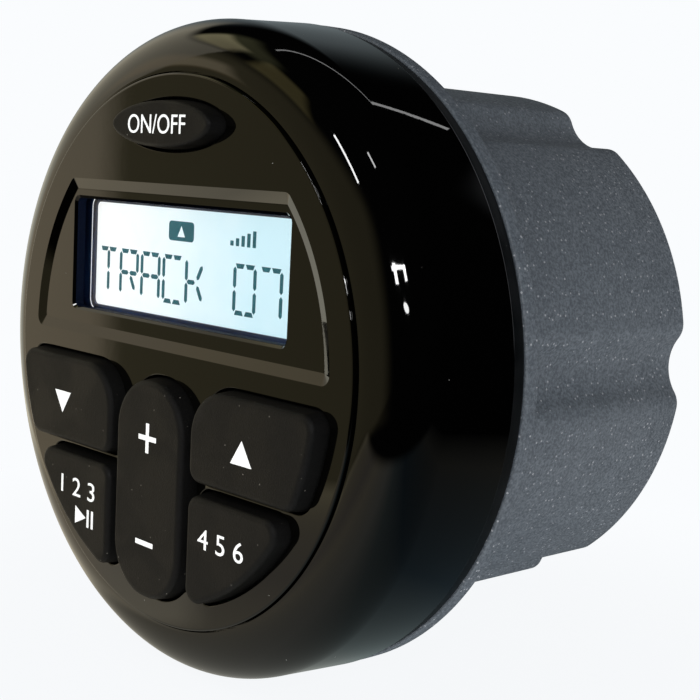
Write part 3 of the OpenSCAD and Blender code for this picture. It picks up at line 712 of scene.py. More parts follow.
def circuit_board():
    """Solder mask with tracks showing through it."""
    material, tree, shader = new_finish("board_solder_mask", IOR=1.5)
    plain, track, dull = (0.012, 0.085, 0.035), (0.03, 0.17, 0.075), (0.01, 0.07, 0.03)
    grid = {"Vector": in_millimetres(tree, 3.2), "Scale": 1.0, "Mortar Size": 0.09}
    tracks = node(tree, "ShaderNodeTexBrick", grid).outputs["Fac"]
    base = blend(tree, sums(tree, "MULTIPLY", tracks, 0.55), plain, track)
    surface(tree, shader, Base_Color=blend(tree, effect(tree, "smudge", Size=8.0), base, dull),
            Roughness=between(tree, effect(tree, "smudge", Size=3.0), 0.3, 0.42))
    bump(tree, shader, tracks, 0.03)
    return material


FINISHES = {
    "bezel_gloss": gloss_black("bezel_gloss_black", (0.0010, 0.0010, 0.0010), 0.0012),
    "panel_gloss": gloss_black("panel_gloss_black", (0.0012, 0.0011, 0.0008), 0.0008),
    "lens_clear": clear_window(),
    "seal_rubber": plain_rubber("seal_satin_rubber", (0.002, 0.0028, 0.0034), (0.0035, 0.0045, 0.0055), 0.4),
    "housing_grain": housing_grain(),
    "screw_steel": plain_metal("screw_stainless", (0.62, 0.61, 0.6), (0.36, 0.35, 0.34), 0.24),
    "key_rubber": key_rubber(),
    "contact_carbon": plain_rubber("contact_carbon_rubber", (0.012, 0.012, 0.012), (0.02, 0.02, 0.02), 0.7),
    "web_silicone": plain_rubber("web_silicone_sheet", (0.012, 0.012, 0.013), (0.02, 0.02, 0.021), 0.6),
    "pad_gold": plain_metal("pad_gold_plate", (0.85, 0.62, 0.25), (0.6, 0.42, 0.18), 0.25),
    "frame_dark": moulded("display_frame_moulding", (0.001, 0.018, 0.07), (0.001, 0.008, 0.035), 0.5),
    "display_lit": lit_display(),
    "light_guide": moulded("light_guide_white", (0.9, 0.92, 0.92), (0.8, 0.82, 0.82), 0.3),
    "board_green": circuit_board(),
    "chip_black": moulded("chip_moulding", (0.024, 0.024, 0.024), (0.014, 0.014, 0.014), 0.6),
    "sink_aluminium": plain_metal("sink_extruded", (0.78, 0.79, 0.8), (0.6, 0.61, 0.62), 0.34),
    "tuner_can": plain_metal("tuner_tinplate", (0.66, 0.67, 0.67), (0.48, 0.49, 0.5), 0.3),
    "capacitor_sleeve": moulded("capacitor_shrink_sleeve", (0.03, 0.04, 0.1), (0.018, 0.024, 0.06), 0.3),
    "choke_core": moulded("choke_enamel", (0.3, 0.11, 0.03), (0.16, 0.05, 0.015), 0.35),
    "connector_ivory": moulded("connector_ivory_moulding", (0.76, 0.72, 0.6), (0.66, 0.61, 0.49), 0.45),
    "ribbon_grey": moulded("ribbon_insulation", (0.62, 0.62, 0.6), (0.5, 0.5, 0.48), 0.5),
    "gland_rubber": plain_rubber("gland_black_rubber", (0.01, 0.01, 0.011), (0.018, 0.018, 0.019), 0.55),
    "socket_nickel": plain_metal("socket_nickel_plate", (0.66, 0.64, 0.59), (0.46, 0.44, 0.4), 0.22),
    "insert_brass": plain_metal("insert_turned_brass", (0.76, 0.55, 0.25), (0.5, 0.34, 0.15), 0.28),
}
INK = printed_ink("legend_ink_white", (0.88, 0.88, 0.86), (0.74, 0.74, 0.72))
# painted shade: near-black ink for the sheet that hides the lit display's reflection in the window's walls
WALL_SHADE_INK = printed_ink("window_wall_shade_ink", (0.002, 0.004, 0.012), (0.003, 0.006, 0.018), shine=0.05)
SEGMENT_INK = printed_ink("segment_ink_dark", (0.004, 0.05, 0.065), (0.008, 0.075, 0.09), 0.8, 0.1)

for part in frame["record"]["subparts"]:
    frame["nodes"][part["node"]].material_slots[0].material = FINISHES[part["material_slot"]]


# Front of the stereo

def bezel():
    """The gloss ring: drafted wall, broad shoulder, seam edge and the ledge behind the panel."""
    seam_r = PANEL_R + SEAM_GAP
    crown_r = FLANGE_R - BEZEL_DRAFT - SHOULDER_R
    shoulder_out = SEAM_OUT - SHOULDER_R
    inner_r = SHOULDER_R - BEZEL_WALL
    ledge_r = PANEL_R - LEDGE_IN
    ledge_back = PANEL_BACK - LEDGE_T
    meet = math.degrees(math.asin((ledge_back - shoulder_out) / inner_r))
    section = [(FLANGE_R - BEZEL_WALL, SEAL_OUT)]
    section += arc((FLANGE_R - FOOT_ROUND, SEAL_OUT + FOOT_ROUND), FOOT_ROUND, -90, 0, SMALL_STEPS)
    section += arc((crown_r, shoulder_out), SHOULDER_R, 0, 90, SHOULDER_STEPS)
    section += arc((seam_r + SEAM_ROUND, SEAM_OUT - SEAM_ROUND), SEAM_ROUND, 90, 180, SMALL_STEPS)
    section += [(seam_r, PANEL_BACK), (ledge_r, PANEL_BACK), (ledge_r, ledge_back)]
    section += arc((crown_r, shoulder_out), inner_r, meet, 0, INNER_STEPS)
    turned("bezel_ring", section, "bezel_gloss", "front_bezel")


def seal():
    """The rubber band between bezel and flange, stepped in a little behind the bezel's foot."""
    outer = FLANGE_R - SEAL_STEP
    section = [(FLANGE_R - SEAL_IN, FLANGE_OUT), (FLANGE_R - SEAL_IN, SEAL_OUT)]
    section += arc((outer - SEAL_ROUND, SEAL_OUT - SEAL_ROUND), SEAL_ROUND, 90, 0, SEAL_STEPS)
    section += arc((outer - SEAL_ROUND, FLANGE_OUT + SEAL_ROUND), SEAL_ROUND, 0, -90, SEAL_STEPS)
    turned("seal_band", section, "seal_rubber", "housing_seal")


RIGHT_SEEK = seek_outline()
RIGHT_MODE = mode_outline()
ROCKER_UP = (ROCKER_HIGH + ROCKER_LOW) / 2
WINDOW = rounded_box((0, WINDOW_UP), WINDOW_W, WINDOW_H, WINDOW_CORNER)
WINDOW_WALL_OUT = FACE_OUT - RECESS_DEPTH - WINDOW_BEVEL
KEY_OUTLINES = {
    "power": ellipse((0, POWER_UP), POWER_W, POWER_H),
    "down": mirrored(RIGHT_SEEK),
    "up": RIGHT_SEEK,
    "volume": rounded_box((0, ROCKER_UP), ROCKER_W, ROCKER_HIGH - ROCKER_LOW, ROCKER_CORNER),
    "band": mirrored(RIGHT_MODE),
    "mode": RIGHT_MODE,
}
KEY_NODES = {name: name + "_key" for name in KEY_OUTLINES}
KEY_NODES["volume"] = "volume_rocker"


def face():
    """The gloss panel: key openings with rounded lips and a bevelled display recess."""
    bm = bmesh.new()
    rim = circle((0, 0), PANEL_R, TURN_STEPS)
    rim_back, rim_front = skin(bm, rim, [(0, PANEL_BACK)] + round_off(PANEL_EDGE, FACE_OUT))
    fronts, backs = [], []
    for outline in KEY_OUTLINES.values():
        opening = grown(outline, OPENING_GAP)
        front, back = skin(bm, opening, round_lip(OPENING_LIP, FACE_OUT) + [(0, PANEL_BACK)])
        fronts.append(front)
        backs.append(back)
    floor = FACE_OUT - RECESS_DEPTH
    slope = [(FLAT_RIM, FACE_OUT), (0, FACE_OUT), (-RECESS_SLOPE, floor), (-RECESS_SLOPE - FLAT_RIM, floor)]
    recess_front, recess_floor = skin(bm, recess_outline(), slope)
    bevel = [(WINDOW_BEVEL + FLAT_RIM, floor), (WINDOW_BEVEL, floor), (0, WINDOW_WALL_OUT), (0, PANEL_BACK)]
    window_front, window_back = skin(bm, WINDOW, bevel)
    fill(bm, rim_front, recess_front, *fronts)
    fill(bm, recess_floor, window_front)
    fill(bm, rim_back, window_back, *backs)
    piece("face_plate", bm, "panel_gloss", "face_panel")


def window_wall_shade():
    """A film of painted shade on the window's walls: a near-black sheet that keeps the lit display from
    showing in them.
    """
    bm = bmesh.new()
    ends = [(0, PANEL_BACK), (0, WINDOW_WALL_OUT)]
    outer_low, outer_high = skin(bm, grown(WINDOW, -MASK_GAP), ends)
    inner_low, inner_high = skin(bm, grown(WINDOW, -MASK_IN), ends)
    bridge(bm, outer_low, inner_low)
    bridge(bm, outer_high, inner_high)
    piece("window_wall_shade_film", bm, "frame_dark", finish=WALL_SHADE_INK)


def keys():
    """Six rubber keys with drafted sides and soft shoulders."""
    for name, outline in KEY_OUTLINES.items():
        bm = bmesh.new()
        edge = POWER_EDGE if name == "power" else KEY_EDGE
        shoulder = round_off(edge, CAP_TOP, -KEY_DRAFT, KEY_STEPS)
        back, front = skin(bm, outline, [(0, KEY_BACK), (0, FACE_OUT - PANEL_EDGE)] + shoulder)
        fill(bm, back)
        fill(bm, front)
        piece(name + "_cap", bm, "key_rubber", KEY_NODES[name], body=name + "_button")


bezel()
seal()
face()
window_wall_shade()
keys()


# Rear of the stereo

SCREW_PLACES = circle((0, 0), SCREW_RING_R, FLUTES)
SOCKET_R = (SOCKET_HIGH.x - SOCKET_LOW.x) / 2
INNER_OUT = REAR_OUT + REAR_WALL


def flange_bores(bm):
    """Counterbored screw holes through the flange; gives their rear and front rings."""
    step = COUNTERBORE_R - SCREW_HOLE_R
    layers = [(BORE_CHAMFER + BORE_RIM, 0.0), (BORE_CHAMFER, 0.0), (0, BORE_CHAMFER)]
    layers += [(0, COUNTERBORE_OUT), (-step, COUNTERBORE_OUT), (-step, FLANGE_OUT)]
    return zip(*[skin(bm, circle(place, COUNTERBORE_R), layers) for place in SCREW_PLACES])


def wall_bores(bm):
    """Holes of the fittings in the rear wall; gives their outer and inner rings."""
    holes = [(place, neck) for place, _, neck, _ in (HARNESS_GLAND, LEAD_GLAND)]
    holes += [(place, INSERT_R) for place in INSERT_PLACES]
    holes += [(SOCKET_PLACE, SOCKET_R)]
    layers = [(BORE_CHAMFER + FLAT_RIM, REAR_OUT), (BORE_CHAMFER, REAR_OUT)]
    layers += [(0, REAR_OUT + BORE_CHAMFER), (0, INNER_OUT)]
    return zip(*[skin(bm, circle(place, radius), layers) for place, radius in holes])


def housing():
    """The grained can with its flange, hollows, counterbores and the holes of its rear wall."""
    bm = bmesh.new()
    can = can_outline()
    flange = circle((0, 0), FLANGE_R, TURN_STEPS)
    rear_round = facing_rear(round_off(FLANGE_EDGE, 0.0), 0.0)[::-1]
    flange_rear, flange_front = skin(bm, flange, rear_round + round_off(FLANGE_EDGE, FLANGE_OUT))
    turns = [math.radians(90 * i / SMALL_STEPS) for i in range(SMALL_STEPS + 1)]
    root = [(ROOT_ROUND * (1 - math.sin(t)), -ROOT_ROUND * (1 - math.cos(t))) for t in turns]
    rear_edge = facing_rear(round_off(REAR_EDGE, REAR_OUT), REAR_OUT)
    can_root, can_rear = skin(bm, can, [(ROOT_ROUND + FLAT_RIM, 0.0)] + root + rear_edge)
    can_front, can_floor = skin(bm, can, [(-CAN_WALL, FLANGE_OUT), (-CAN_WALL, INNER_OUT)])
    bores, holes = flange_bores(bm)
    outside, inside = wall_bores(bm)
    fill(bm, flange_rear, can_root, *bores)
    fill(bm, flange_front, can_front, *holes)
    fill(bm, can_rear, *outside)
    fill(bm, can_floor, *inside)
    piece("housing_can", bm, "housing_grain", "rear_housing")


def screws():
    """Six pan-head screws in the flange, their cross slots to the rear."""
    bm = bmesh.new()
    head = SCREW_LOW.z
    neck = SHANK_R - HEAD_R
    layers = facing_rear(round_off(HEAD_ROUND, head), head)[::-1]
    layers += [(0, COUNTERBORE_OUT), (neck, COUNTERBORE_OUT), (neck, SCREW_HIGH.z)]
    for place in SCREW_PLACES:
        top, tip = skin(bm, circle(place, HEAD_R), layers)
        slot = cross(place, CROSS_REACH, CROSS_HALF)
        slot_top, slot_floor = skin(bm, slot, [(0, head), (-CROSS_TAPER, head + CROSS_DEEP)])
        fill(bm, top, slot_top)
        fill(bm, slot_floor)
        fill(bm, tip)
    piece("flange_screws", bm, "screw_steel", "housing_screws")


def gland(name, shape, node_name):
    """A rubber gland with a rolled outer rim, a neck in the wall and an inner rim."""
    place, bore, neck, rim = shape
    outer = REAR_OUT - GLAND_STANDS
    mouth = outer + GLAND_MOUTH
    end = INNER_OUT + GLAND_INSIDE
    roll = GLAND_STANDS / 2
    inner_rim = rim - INNER_RIM_STEP
    section = [(bore, end), (bore, mouth)]
    section += arc((bore + GLAND_MOUTH, mouth), GLAND_MOUTH, 180, 270, SMALL_STEPS)
    section += arc((rim - roll, outer + roll), roll, -90, 90)
    section += [(neck, REAR_OUT), (neck, INNER_OUT)]
    section += [(inner_rim, INNER_OUT), (inner_rim - INNER_RIM_TAPER, end)]
    turned(name, section, "gland_rubber", node_name, [place], FITTING_STEPS)


def threads(radius, start, end, deep):
    """Points of a thread's crests and roots between two places along the axis."""
    count = int(abs(end - start) / THREAD_PITCH)
    pitch = (end - start) / count
    crests = [start + pitch * (i + 0.25) for i in range(count)]
    return [point for at in crests for point in ((radius, at), (radius - deep, at + pitch / 2))]


def antenna_fitting():
    """The threaded antenna socket and its hexagon nut."""
    rear, front = SOCKET_LOW.z, SOCKET_HIGH.z
    nut_rear = REAR_OUT - NUT_T
    section = [(SOCKET_BORE, front), (SOCKET_BORE, rear + SOCKET_MOUTH), (SOCKET_BORE + SOCKET_MOUTH, rear)]
    section += [(SOCKET_R - SOCKET_EDGE, rear), (SOCKET_R, rear + SOCKET_EDGE)]
    section += threads(SOCKET_R, rear + THREAD_FROM, nut_rear, THREAD_DEEP)
    section += [(SOCKET_R, nut_rear), (SOCKET_R, front)]
    turned("antenna_tube", section, "socket_nickel", "antenna_socket", [SOCKET_PLACE], FITTING_STEPS)
    bm = bmesh.new()
    layers = [(-NUT_CHAMFER, nut_rear), (0, nut_rear + NUT_CHAMFER), (0, REAR_OUT)]
    rear_ring, front_ring = skin(bm, circle(SOCKET_PLACE, NUT_R, NUT_SIDES), layers)
    hole_rear, hole_front = skin(bm, circle(SOCKET_PLACE, SOCKET_R), [(0, nut_rear), (0, REAR_OUT)])
    fill(bm, rear_ring, hole_rear)
    fill(bm, front_ring, hole_front)
    piece("antenna_hex_nut", bm, "socket_nickel", "antenna_nut")


def inserts():
    """Two brass bushes with threaded bores, moulded into the rear wall."""
    end = REAR_OUT + INSERT_LONG
    section = [(INSERT_R, REAR_OUT), (INSERT_R, end), (INSERT_BORE, end)]
    section += threads(INSERT_BORE, end, REAR_OUT + THREAD_FROM, -THREAD_DEEP)
    section += [(INSERT_BORE, REAR_OUT + INSERT_MOUTH), (INSERT_BORE + INSERT_MOUTH, REAR_OUT)]
    turned("bracket_bushes", section, "insert_brass", "bracket_inserts", INSERT_PLACES, INSERT_STEPS)


housing()
screws()
gland("harness_gland_ring", HARNESS_GLAND, "harness_grommet")
gland("lead_gland_ring", LEAD_GLAND, "lead_grommet")
antenna_fitting()
inserts()


# Printing on the keys: place of the middle, width and height, then the sizes of the signs

POWER_WORD = ((-0.4, 32.95), 14.0, 2.7)
BAND_DIGITS = ((-18.4, -23.4), 9.6, 2.9)
MODE_DIGITS = ((18.1, -24.1), 10.2, 2.9)
DOWN_ARROW = ((-23.4, -10.5), 4.6, -3.4)
UP_ARROW = ((21.9, -10.5), 4.6, 3.4)
PLUS_PLACE = (0, -12.3)
MINUS_PLACE = (0, -28.0)
SIGN_W = 4.4
SIGN_STROKE = 0.75
PLAY_LEFT = -18.9
PLAY_RIGHT = -15.9
PLAY_UP = -27.7
PLAY_H = 2.8
PAUSE_BARS = (-15.3, -14.1)
PAUSE_W = 0.55
BAR_CORNER = 0.1
LETTER_CURVE = 6
JOIN_REACH = 0.0005

# Display: lit segments of each character, those that are wedges and the way they narrow, and its signs
DISPLAY_TEXT = ("aAil", "aAbefGgm", "aAbcefGg", "aAdDef", "efGjm", "", "aAbcdDef", "aAbc")
WEDGES = {"a": -1, "A": -1, "d": 1, "D": 1}
TEXT_RIGHT = -1.1
CHARACTER_W = 4.5
CHARACTER_H = 6.6
CHARACTER_PITCH = 5.72
CHARACTER_UP = 10.45
STROKE = 0.68
SEGMENT_GAP = 0.14
DIAGONAL_INSET = 0.62
BADGE_PLACE = (-2.1, 17.7)
BADGE_SIZE = (6.2, 2.9, 0.6)
BADGE_ARROW = (1.9, 1.7)
LEVEL_BARS = 5
LEVEL_PLACE = (10.0, 16.5)
LEVEL_PITCH = 1.25
LEVEL_W = 0.7
LEVEL_FIRST = 0.7
LEVEL_STEP = 0.4


def slab(bm, outline, out, *holes):
    """A thin flat shape, INK_T thick, that starts at out."""
    sides = [skin(bm, shape, [(0, out), (0, out + INK_T)]) for shape in (outline, *holes)]
    fill(bm, *[back for back, front in sides])
    fill(bm, *[front for back, front in sides])


def printed(name, bm, key):
    """Makes a mesh printing that rides on a key."""
    piece(name + "_legend", bm, "key_rubber", body=key + "_button", finish=INK)


def letters(key, words, centre, width, height):
    """Printed words that fill a box on top of a key."""
    curve = bpy.data.curves.new(key, "FONT")
    curve.body = words
    curve.resolution_u = LETTER_CURVE
    source = placed(key + "_type", curve)
    bpy.context.view_layer.update()
    flat = bpy.data.meshes.new_from_object(source.evaluated_get(bpy.context.evaluated_depsgraph_get()))
    bpy.data.objects.remove(source)
    bpy.data.curves.remove(curve)
    low = Vector([min(v.co[i] for v in flat.vertices) for i in range(2)])
    high = Vector([max(v.co[i] for v in flat.vertices) for i in range(2)])
    for v in flat.vertices:
        share = [(v.co[i] - low[i]) / (high[i] - low[i]) - 0.5 for i in range(2)]
        v.co = spot(centre[0] + share[0] * width, centre[1] + share[1] * height, CAP_TOP)
    bm = bmesh.new()
    bm.from_mesh(flat)
    bpy.data.meshes.remove(flat)
    bmesh.ops.remove_doubles(bm, verts=bm.verts, dist=JOIN_REACH * MM)
    raised = bmesh.ops.extrude_face_region(bm, geom=bm.faces[:])
    for item in raised["geom"]:
        if isinstance(item, bmesh.types.BMVert):
            item.co += spot(0, 0, INK_T)
    printed(key, bm, key)


def sign(name, shapes, key):
    """Printed signs on top of a key."""
    bm = bmesh.new()
    for outline in shapes:
        slab(bm, outline, CAP_TOP)
    printed(name, bm, key)


def arrow(centre, width, height):
    """A triangle that points up, or down where its height is negative."""
    x, y = centre
    points = [(x - width / 2, y - height / 2), (x + width / 2, y - height / 2), (x, y + height / 2)]
    return points if height > 0 else points[::-1]


def bar(centre, width, height):
    return rounded_box(centre, width, height, min(width, height) * BAR_CORNER)


def legends():
    """Words, digits and signs on the keys."""
    letters("power", "ON/OFF", *POWER_WORD)
    sign("down", [arrow(*DOWN_ARROW)], "down")
    sign("up", [arrow(*UP_ARROW)], "up")
    plus = cross(PLUS_PLACE, SIGN_W / 2, SIGN_STROKE / 2)
    sign("volume", [plus, bar(MINUS_PLACE, SIGN_W, SIGN_STROKE)], "volume")
    letters("band", "1 2 3", *BAND_DIGITS)
    letters("mode", "4 5 6", *MODE_DIGITS)
    play = [(PLAY_LEFT, PLAY_UP - PLAY_H / 2), (PLAY_RIGHT, PLAY_UP), (PLAY_LEFT, PLAY_UP + PLAY_H / 2)]
    pause = [bar((right, PLAY_UP), PAUSE_W, PLAY_H) for right in PAUSE_BARS]
    sign("play", [play] + pause, "band")


def stroke(start, end, width, inward=None):
    """A bar with pointed ends between two places, or a wedge that narrows inwards."""
    start, end = Vector(start), Vector(end)
    along = (end - start).normalized()
    side = Vector((along.y, -along.x)) * width / 2
    start, end = start + along * SEGMENT_GAP, end - along * SEGMENT_GAP
    tip = along * width / 2
    if inward is None:
        points = [start, start + tip + side, end - tip + side, end, end - tip - side, start + tip - side]
    else:
        inner = Vector((0, inward)) * width / 2
        points = [start - inner, end - inner, end + inner - tip, start + inner + tip]
    return [tuple(p) for p in points]


def character_strokes(centre):
    """The segments that the display's characters use, by letter."""
    x, y = centre
    a, b = CHARACTER_W / 2, CHARACTER_H / 2
    inset = DIAGONAL_INSET
    lines = {
        "a": ((-a, b), (0, b)), "A": ((0, b), (a, b)), "d": ((-a, -b), (0, -b)), "D": ((0, -b), (a, -b)),
        "f": ((-a, 0), (-a, b)), "b": ((a, 0), (a, b)),
        "e": ((-a, -b), (-a, 0)), "c": ((a, -b), (a, 0)),
        "G": ((-a, 0), (0, 0)), "g": ((0, 0), (a, 0)),
        "i": ((0, 0), (0, b)), "l": ((0, -b), (0, 0)),
        "j": ((inset / 2, inset / 2), (a - inset, b - inset)),
        "m": ((inset / 2, -inset / 2), (a - inset, -b + inset)),
    }
    return {key: [(x + p[0], y + p[1]) for p in line] for key, line in lines.items()}


def display_print():
    """The lit display's dark segments, its badge and its level bars."""
    bm = bmesh.new()
    for i, lit in enumerate(DISPLAY_TEXT):
        right = (i - (len(DISPLAY_TEXT) - 1) / 2) * CHARACTER_PITCH + TEXT_RIGHT
        for key, line in character_strokes((right, CHARACTER_UP)).items():
            if key in lit:
                slab(bm, stroke(*line, STROKE, WEDGES.get(key)), GLASS_OUT)
    slab(bm, rounded_box(BADGE_PLACE, *BADGE_SIZE), GLASS_OUT, arrow(BADGE_PLACE, *BADGE_ARROW))
    for k in range(LEVEL_BARS):
        tall = LEVEL_FIRST + LEVEL_STEP * k
        middle = (LEVEL_PLACE[0] + LEVEL_PITCH * k, LEVEL_PLACE[1] + tall / 2)
        slab(bm, bar(middle, LEVEL_W, tall), GLASS_OUT)
    piece("display_segments", bm, "display_lit", finish=SEGMENT_INK)


def display_edge():
    """The thin line of light that leaks out round the display's frame."""
    bm = bmesh.new()
    view = rounded_box((0, WINDOW_UP), VIEW_W, VIEW_H, WINDOW_CORNER)
    slab(bm, grown(view, EDGE_LINE[1]), FRAME_OUT, grown(view, EDGE_LINE[0]))
    piece("display_edge_line", bm, "display_lit")


legends()
display_print()
display_edge()


# Camera, floor and light

CAMERA_AT = (0.16382, -0.14148, 0.02740)
CAMERA_AZIMUTH = 46.906
CAMERA_ELEVATION = 7.283
CAMERA_ROLL = 2.931
CAMERA_LENS = 70.99
CAMERA_NEAR = 0.01


def toward(azimuth, elevation):
    """Direction in the frame; azimuth 0 is straight out to the user, 90 is to the right."""
    a, e = math.radians(azimuth), math.radians(elevation)
    return Vector((math.sin(a) * math.cos(e), -math.cos(a) * math.cos(e), math.sin(e)))


def add_camera():
    """The camera at the photo's place, angle and roll."""
    view = bpy.data.cameras.new("photo_view")
    view.lens = CAMERA_LENS
    view.clip_start = CAMERA_NEAR
    stand = Matrix.Translation(CAMERA_AT)
    for angle, axis in ((CAMERA_AZIMUTH, "Z"), (90 - CAMERA_ELEVATION, "X"), (CAMERA_ROLL, "Z")):
        stand = stand @ Matrix.Rotation(math.radians(angle), 4, axis)
    item = placed("photo_view", view)
    item.matrix_world = stand
    bpy.context.scene.camera = item


def mixed(tree, share, first, second):
    """A node that mixes the shaders of two others."""
    return node(tree, "ShaderNodeMixShader", {0: share, 1: first.outputs[0], 2: second.outputs[0]})


# Floor: half side and drop in metres, shadow, lift of its light, and from where to where it whitens
FLOOR_SIZE = 3.0
FLOOR_DROP = 0.0003
FLOOR_SHADOW = 0.055
FLOOR_LIFT = 1.15
FLOOR_WHITE = (60, 150)
# Floor as gloss mirrors it, painted shadow dark under and behind the object and painted light ahead of it:
# azimuth along which its tones run, then place in millimetres and colour
FLOOR_AHEAD = -45
FLOOR_MIRROR = (
    (-170, (0.0, 0.0, 0.0)),
    (-110, (0.09, 0.09, 0.08)),
    (-40, (0.06, 0.09, 0.11)),
    (-15, (0.17, 0.21, 0.21)),
    (5, (0.38, 0.38, 0.34)),
    (45, (0.52, 0.47, 0.36)),
    (75, (0.4, 0.36, 0.3)),
    (146, (0.5, 0.44, 0.3)),
    (162, (0.0, 0.0, 0.0)),
)
# Where the mirrored floor fades out at its side, and where the walls show through it, and how much
FLOOR_SIDE = (-150, -125)
FLOOR_THIN = ((36, 50, 0.4), (110, 148, 0.6))
# White of the floor and of the background
PAPER = (0.956, 0.973, 0.991, 1.0)


def floor_in_gloss(tree, place):
    """The floor as gloss mirrors it: painted tones, with painted shadow under and behind the object and
    painted light ahead of it, and the walls showing through.
    """
    forward = vectors(tree, "DOT_PRODUCT", {0: place, 1: toward(FLOOR_AHEAD, 0)})["Value"]
    across = vectors(tree, "DOT_PRODUCT", {0: place, 1: toward(FLOOR_AHEAD - 90, 0)})["Value"]
    first, last = FLOOR_MIRROR[0][0], FLOOR_MIRROR[-1][0]
    way = node(tree, "ShaderNodeMapRange", {"Value": forward, "From Min": first, "From Max": last})
    tones = node(tree, "ShaderNodeValToRGB", {"Fac": way.outputs["Result"]})
    for at, colour in FLOOR_MIRROR[1:-1]:
        tones.color_ramp.elements.new((at - first) / (last - first))
    for stop, (at, colour) in zip(tones.color_ramp.elements, FLOOR_MIRROR):
        stop.color = (*colour, 1.0)
    fall = ramp(tree, across, *FLOOR_SIDE)
    near = node(tree, "ShaderNodeEmission", {"Color": tones.outputs["Color"], "Strength": fall})
    shares = [ramp(tree, forward, low, high, 0.0, share) for low, high, share in FLOOR_THIN]
    thin = sums(tree, "ADD", *shares)
    clear = node(tree, "ShaderNodeBsdfTransparent", {"Color": blend(tree, thin, (0, 0, 0), (1, 1, 1))})
    return node(tree, "ShaderNodeAddShader", {0: near.outputs[0], 1: clear.outputs[0]})


def floor_finish():
    """Pale paper that keeps the shadow near the object and turns white away from it."""
    material, tree, shader = new_finish("studio_floor_pale", Roughness=0.9, Specular_IOR_Level=0.1)
    tone = effect(tree, "smudge", Size=300.0)
    surface(tree, shader, Base_Color=blend(tree, tone, (0.9, 0.9, 0.9), (0.88, 0.88, 0.885)))
    place = in_millimetres(tree)
    away = vectors(tree, "LENGTH", {0: place})["Value"]
    white = ramp(tree, away, *FLOOR_WHITE, 1 - FLOOR_SHADOW, 1.0)
    path = tree.nodes.new("ShaderNodeLightPath").outputs
    lift = sums(tree, "MULTIPLY_ADD", path["Is Diffuse Ray"], FLOOR_LIFT, 1.0)
    plain = node(tree, "ShaderNodeEmission", {"Color": PAPER, "Strength": lift})
    pale = sums(tree, "MAXIMUM", path["Is Camera Ray"], path["Is Diffuse Ray"])
    direct = mixed(tree, sums(tree, "MULTIPLY", white, pale), shader, plain)
    shown = mixed(tree, path["Is Glossy Ray"], direct, floor_in_gloss(tree, place))
    tree.links.new(shown.outputs[0], tree.nodes["Material Output"].inputs["Surface"])
    return material


def add_floor():
    """The floor, just below the object."""
    bm = bmesh.new()
    height = CAD_BOX[0][2] - FLOOR_DROP
    corners = [(-1, -1), (1, -1), (1, 1), (-1, 1)]
    bm.faces.new([bm.verts.new((x * FLOOR_SIZE, y * FLOOR_SIZE, height)) for x, y in corners])
    mesh = bpy.data.meshes.new("studio_floor")
    bm.to_mesh(mesh)
    bm.free()
    mesh.materials.append(floor_finish())
    floor = placed("studio_floor", mesh)


# Soft walls of the studio: left, right, low and high ends in degrees, each with its fade, and colour
STUDIO_WALLS = (
    ((-112, 12), (-57, 0.8), (-13, 2), (37, 3), (0.76, 0.7, 0.54)),
    ((-78, 6), (-57, 0.8), (-22, 4), (4, 8), (0.25, 0.15, 0.05)),
    ((-110, 12), (-53, 1), (-34, 5), (-13, 2), (1.1, 1.0, 0.76)),
    ((-105, 8), (-78, 4), (-20, 4), (6, 4), (0.25, 0.27, 0.25)),
    ((-57, 0.8), (-49, 2), (11, 2), (22, 4), (0.5, 0.47, 0.37)),
    ((-68, 6), (-49, 2), (10, 3), (22, 4), (0.24, 0.15, 0.06)),
    ((-57, 0.8), (15, 13), (-14, 1.5), (33, 8), (0.28, 0.245, 0.14)),
    ((-47, 3), (-22, 4), (35, 3), (52, 3), (0.5, 0.42, 0.18)),
    ((-86, 4), (-58, 4), (38, 2), (49, 2), (1.1, 0.98, 0.58)),
    ((-86, 8), (-45, 8), (46, 4), (58, 4), (0.25, 0.25, 0.13)),
    ((-150, 12), (-110, 12), (-8, 8), (37, 9), (0.16, 0.19, 0.2)),
    ((162, 8), (200, 1), (-25, 8), (33, 6), (0.55, 0.57, 0.6)),
    ((-200, 1), (-162, 8), (-25, 8), (33, 6), (0.55, 0.57, 0.6)),
)
AMBIENT = 0.2


def band(tree, value, low, high):
    """One between two (place, fade) ends, and nothing outside them."""
    rise = ramp(tree, value, low[0] - low[1], low[0] + low[1])
    fall = ramp(tree, value, high[0] - high[1], high[0] + high[1], 1.0, 0.0)
    return sums(tree, "MULTIPLY", rise, fall)


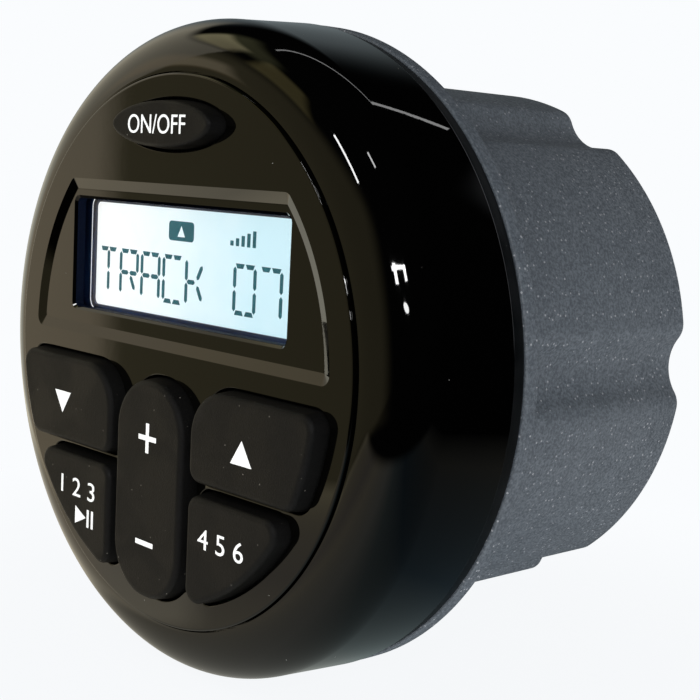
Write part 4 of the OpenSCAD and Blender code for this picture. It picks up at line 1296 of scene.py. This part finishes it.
def add_world():
    """White to the camera and through glass, soft walls in gloss, and even ambient light on the object."""
    world = bpy.data.worlds.new("studio")
    world.use_nodes = True
    tree = world.node_tree
    bpy.context.scene.world = world
    direction = tree.nodes.new("ShaderNodeTexCoord").outputs["Generated"]
    along = node(tree, "ShaderNodeSeparateXYZ", {0: direction}).outputs
    frontward = sums(tree, "MULTIPLY", along["Y"], -1.0)
    azimuth = sums(tree, "DEGREES", sums(tree, "ARCTAN2", along["X"], frontward))
    elevation = sums(tree, "DEGREES", sums(tree, "ARCSINE", along["Z"]))
    total = None
    for left, right, low, high, colour in STUDIO_WALLS:
        mask = sums(tree, "MULTIPLY", band(tree, azimuth, left, right), band(tree, elevation, low, high))
        wall = vectors(tree, "SCALE", {0: colour, "Scale": mask})[0]
        total = wall if total is None else vectors(tree, "ADD", {0: total, 1: wall})[0]
    path = tree.nodes.new("ShaderNodeLightPath").outputs
    reflected = node(tree, "ShaderNodeBackground", {"Color": total})
    ambient = node(tree, "ShaderNodeBackground", {"Color": (1, 1, 1, 1), "Strength": AMBIENT})
    white = node(tree, "ShaderNodeBackground", {"Color": PAPER, "Strength": 1.0})
    lit = mixed(tree, path["Is Glossy Ray"], ambient, reflected)
    direct = sums(tree, "MAXIMUM", path["Is Camera Ray"], path["Is Transmission Ray"])
    seen = mixed(tree, direct, lit, white)
    tree.links.new(seen.outputs[0], tree.nodes["World Output"].inputs["Surface"])


# Lamps a metre away: azimuth, elevation, width and height in metres, tilt, radiance, seen in gloss
LAMPS = {
    "front_softbox": (-25, 35, 0.9, 0.7, 0, 2.0, False),
    "side_softbox": (115, 5, 0.9, 0.3, 0, 1.0, False),
    "window_head": (49.5, 26.2, 0.40, 0.022, 12, 30.0, True),
    "window_left": (43.0, 23.2, 0.085, 0.095, 12, 30.0, True),
    "window_right": (60.0, 26.2, 0.07, 0.08, 12, 30.0, True),
    "tall_strip": (7, 43, 0.24, 0.045, -43, 24.0, True),
    "short_strip": (55, 60.5, 0.09, 0.04, -63, 12.0, True),
    "spot_lamp": (54.4, 15.9, 0.14, 0.05, 0, 18.0, True),
    "ceiling_tube": (-148, 65, 1.1, 0.018, 35, 2.0, True),
}
ROUND_LAMPS = ("spot_lamp",)


def add_lamps():
    """Soft lamps for the light, and small ones that the gloss mirrors."""
    for name, (azimuth, elevation, width, height, tilt, radiance, in_gloss) in LAMPS.items():
        lamp = bpy.data.lights.new(name, "AREA")
        lamp.shape = "ELLIPSE" if name in ROUND_LAMPS else "RECTANGLE"
        lamp.size, lamp.size_y = width, height
        lamp.energy = radiance * math.pi * width * height
        item = placed(name, lamp)
        outward = toward(azimuth, elevation)
        turn = outward.to_track_quat("Z", "Y").to_matrix().to_4x4()
        item.matrix_world = Matrix.Translation(outward) @ turn @ Matrix.Rotation(math.radians(tilt), 4, "Z")
        item.visible_camera = False
        item.visible_glossy = in_gloss


add_camera()
add_floor()
add_world()
add_lamps()
bpy.context.scene.view_settings.view_transform = "Standard"
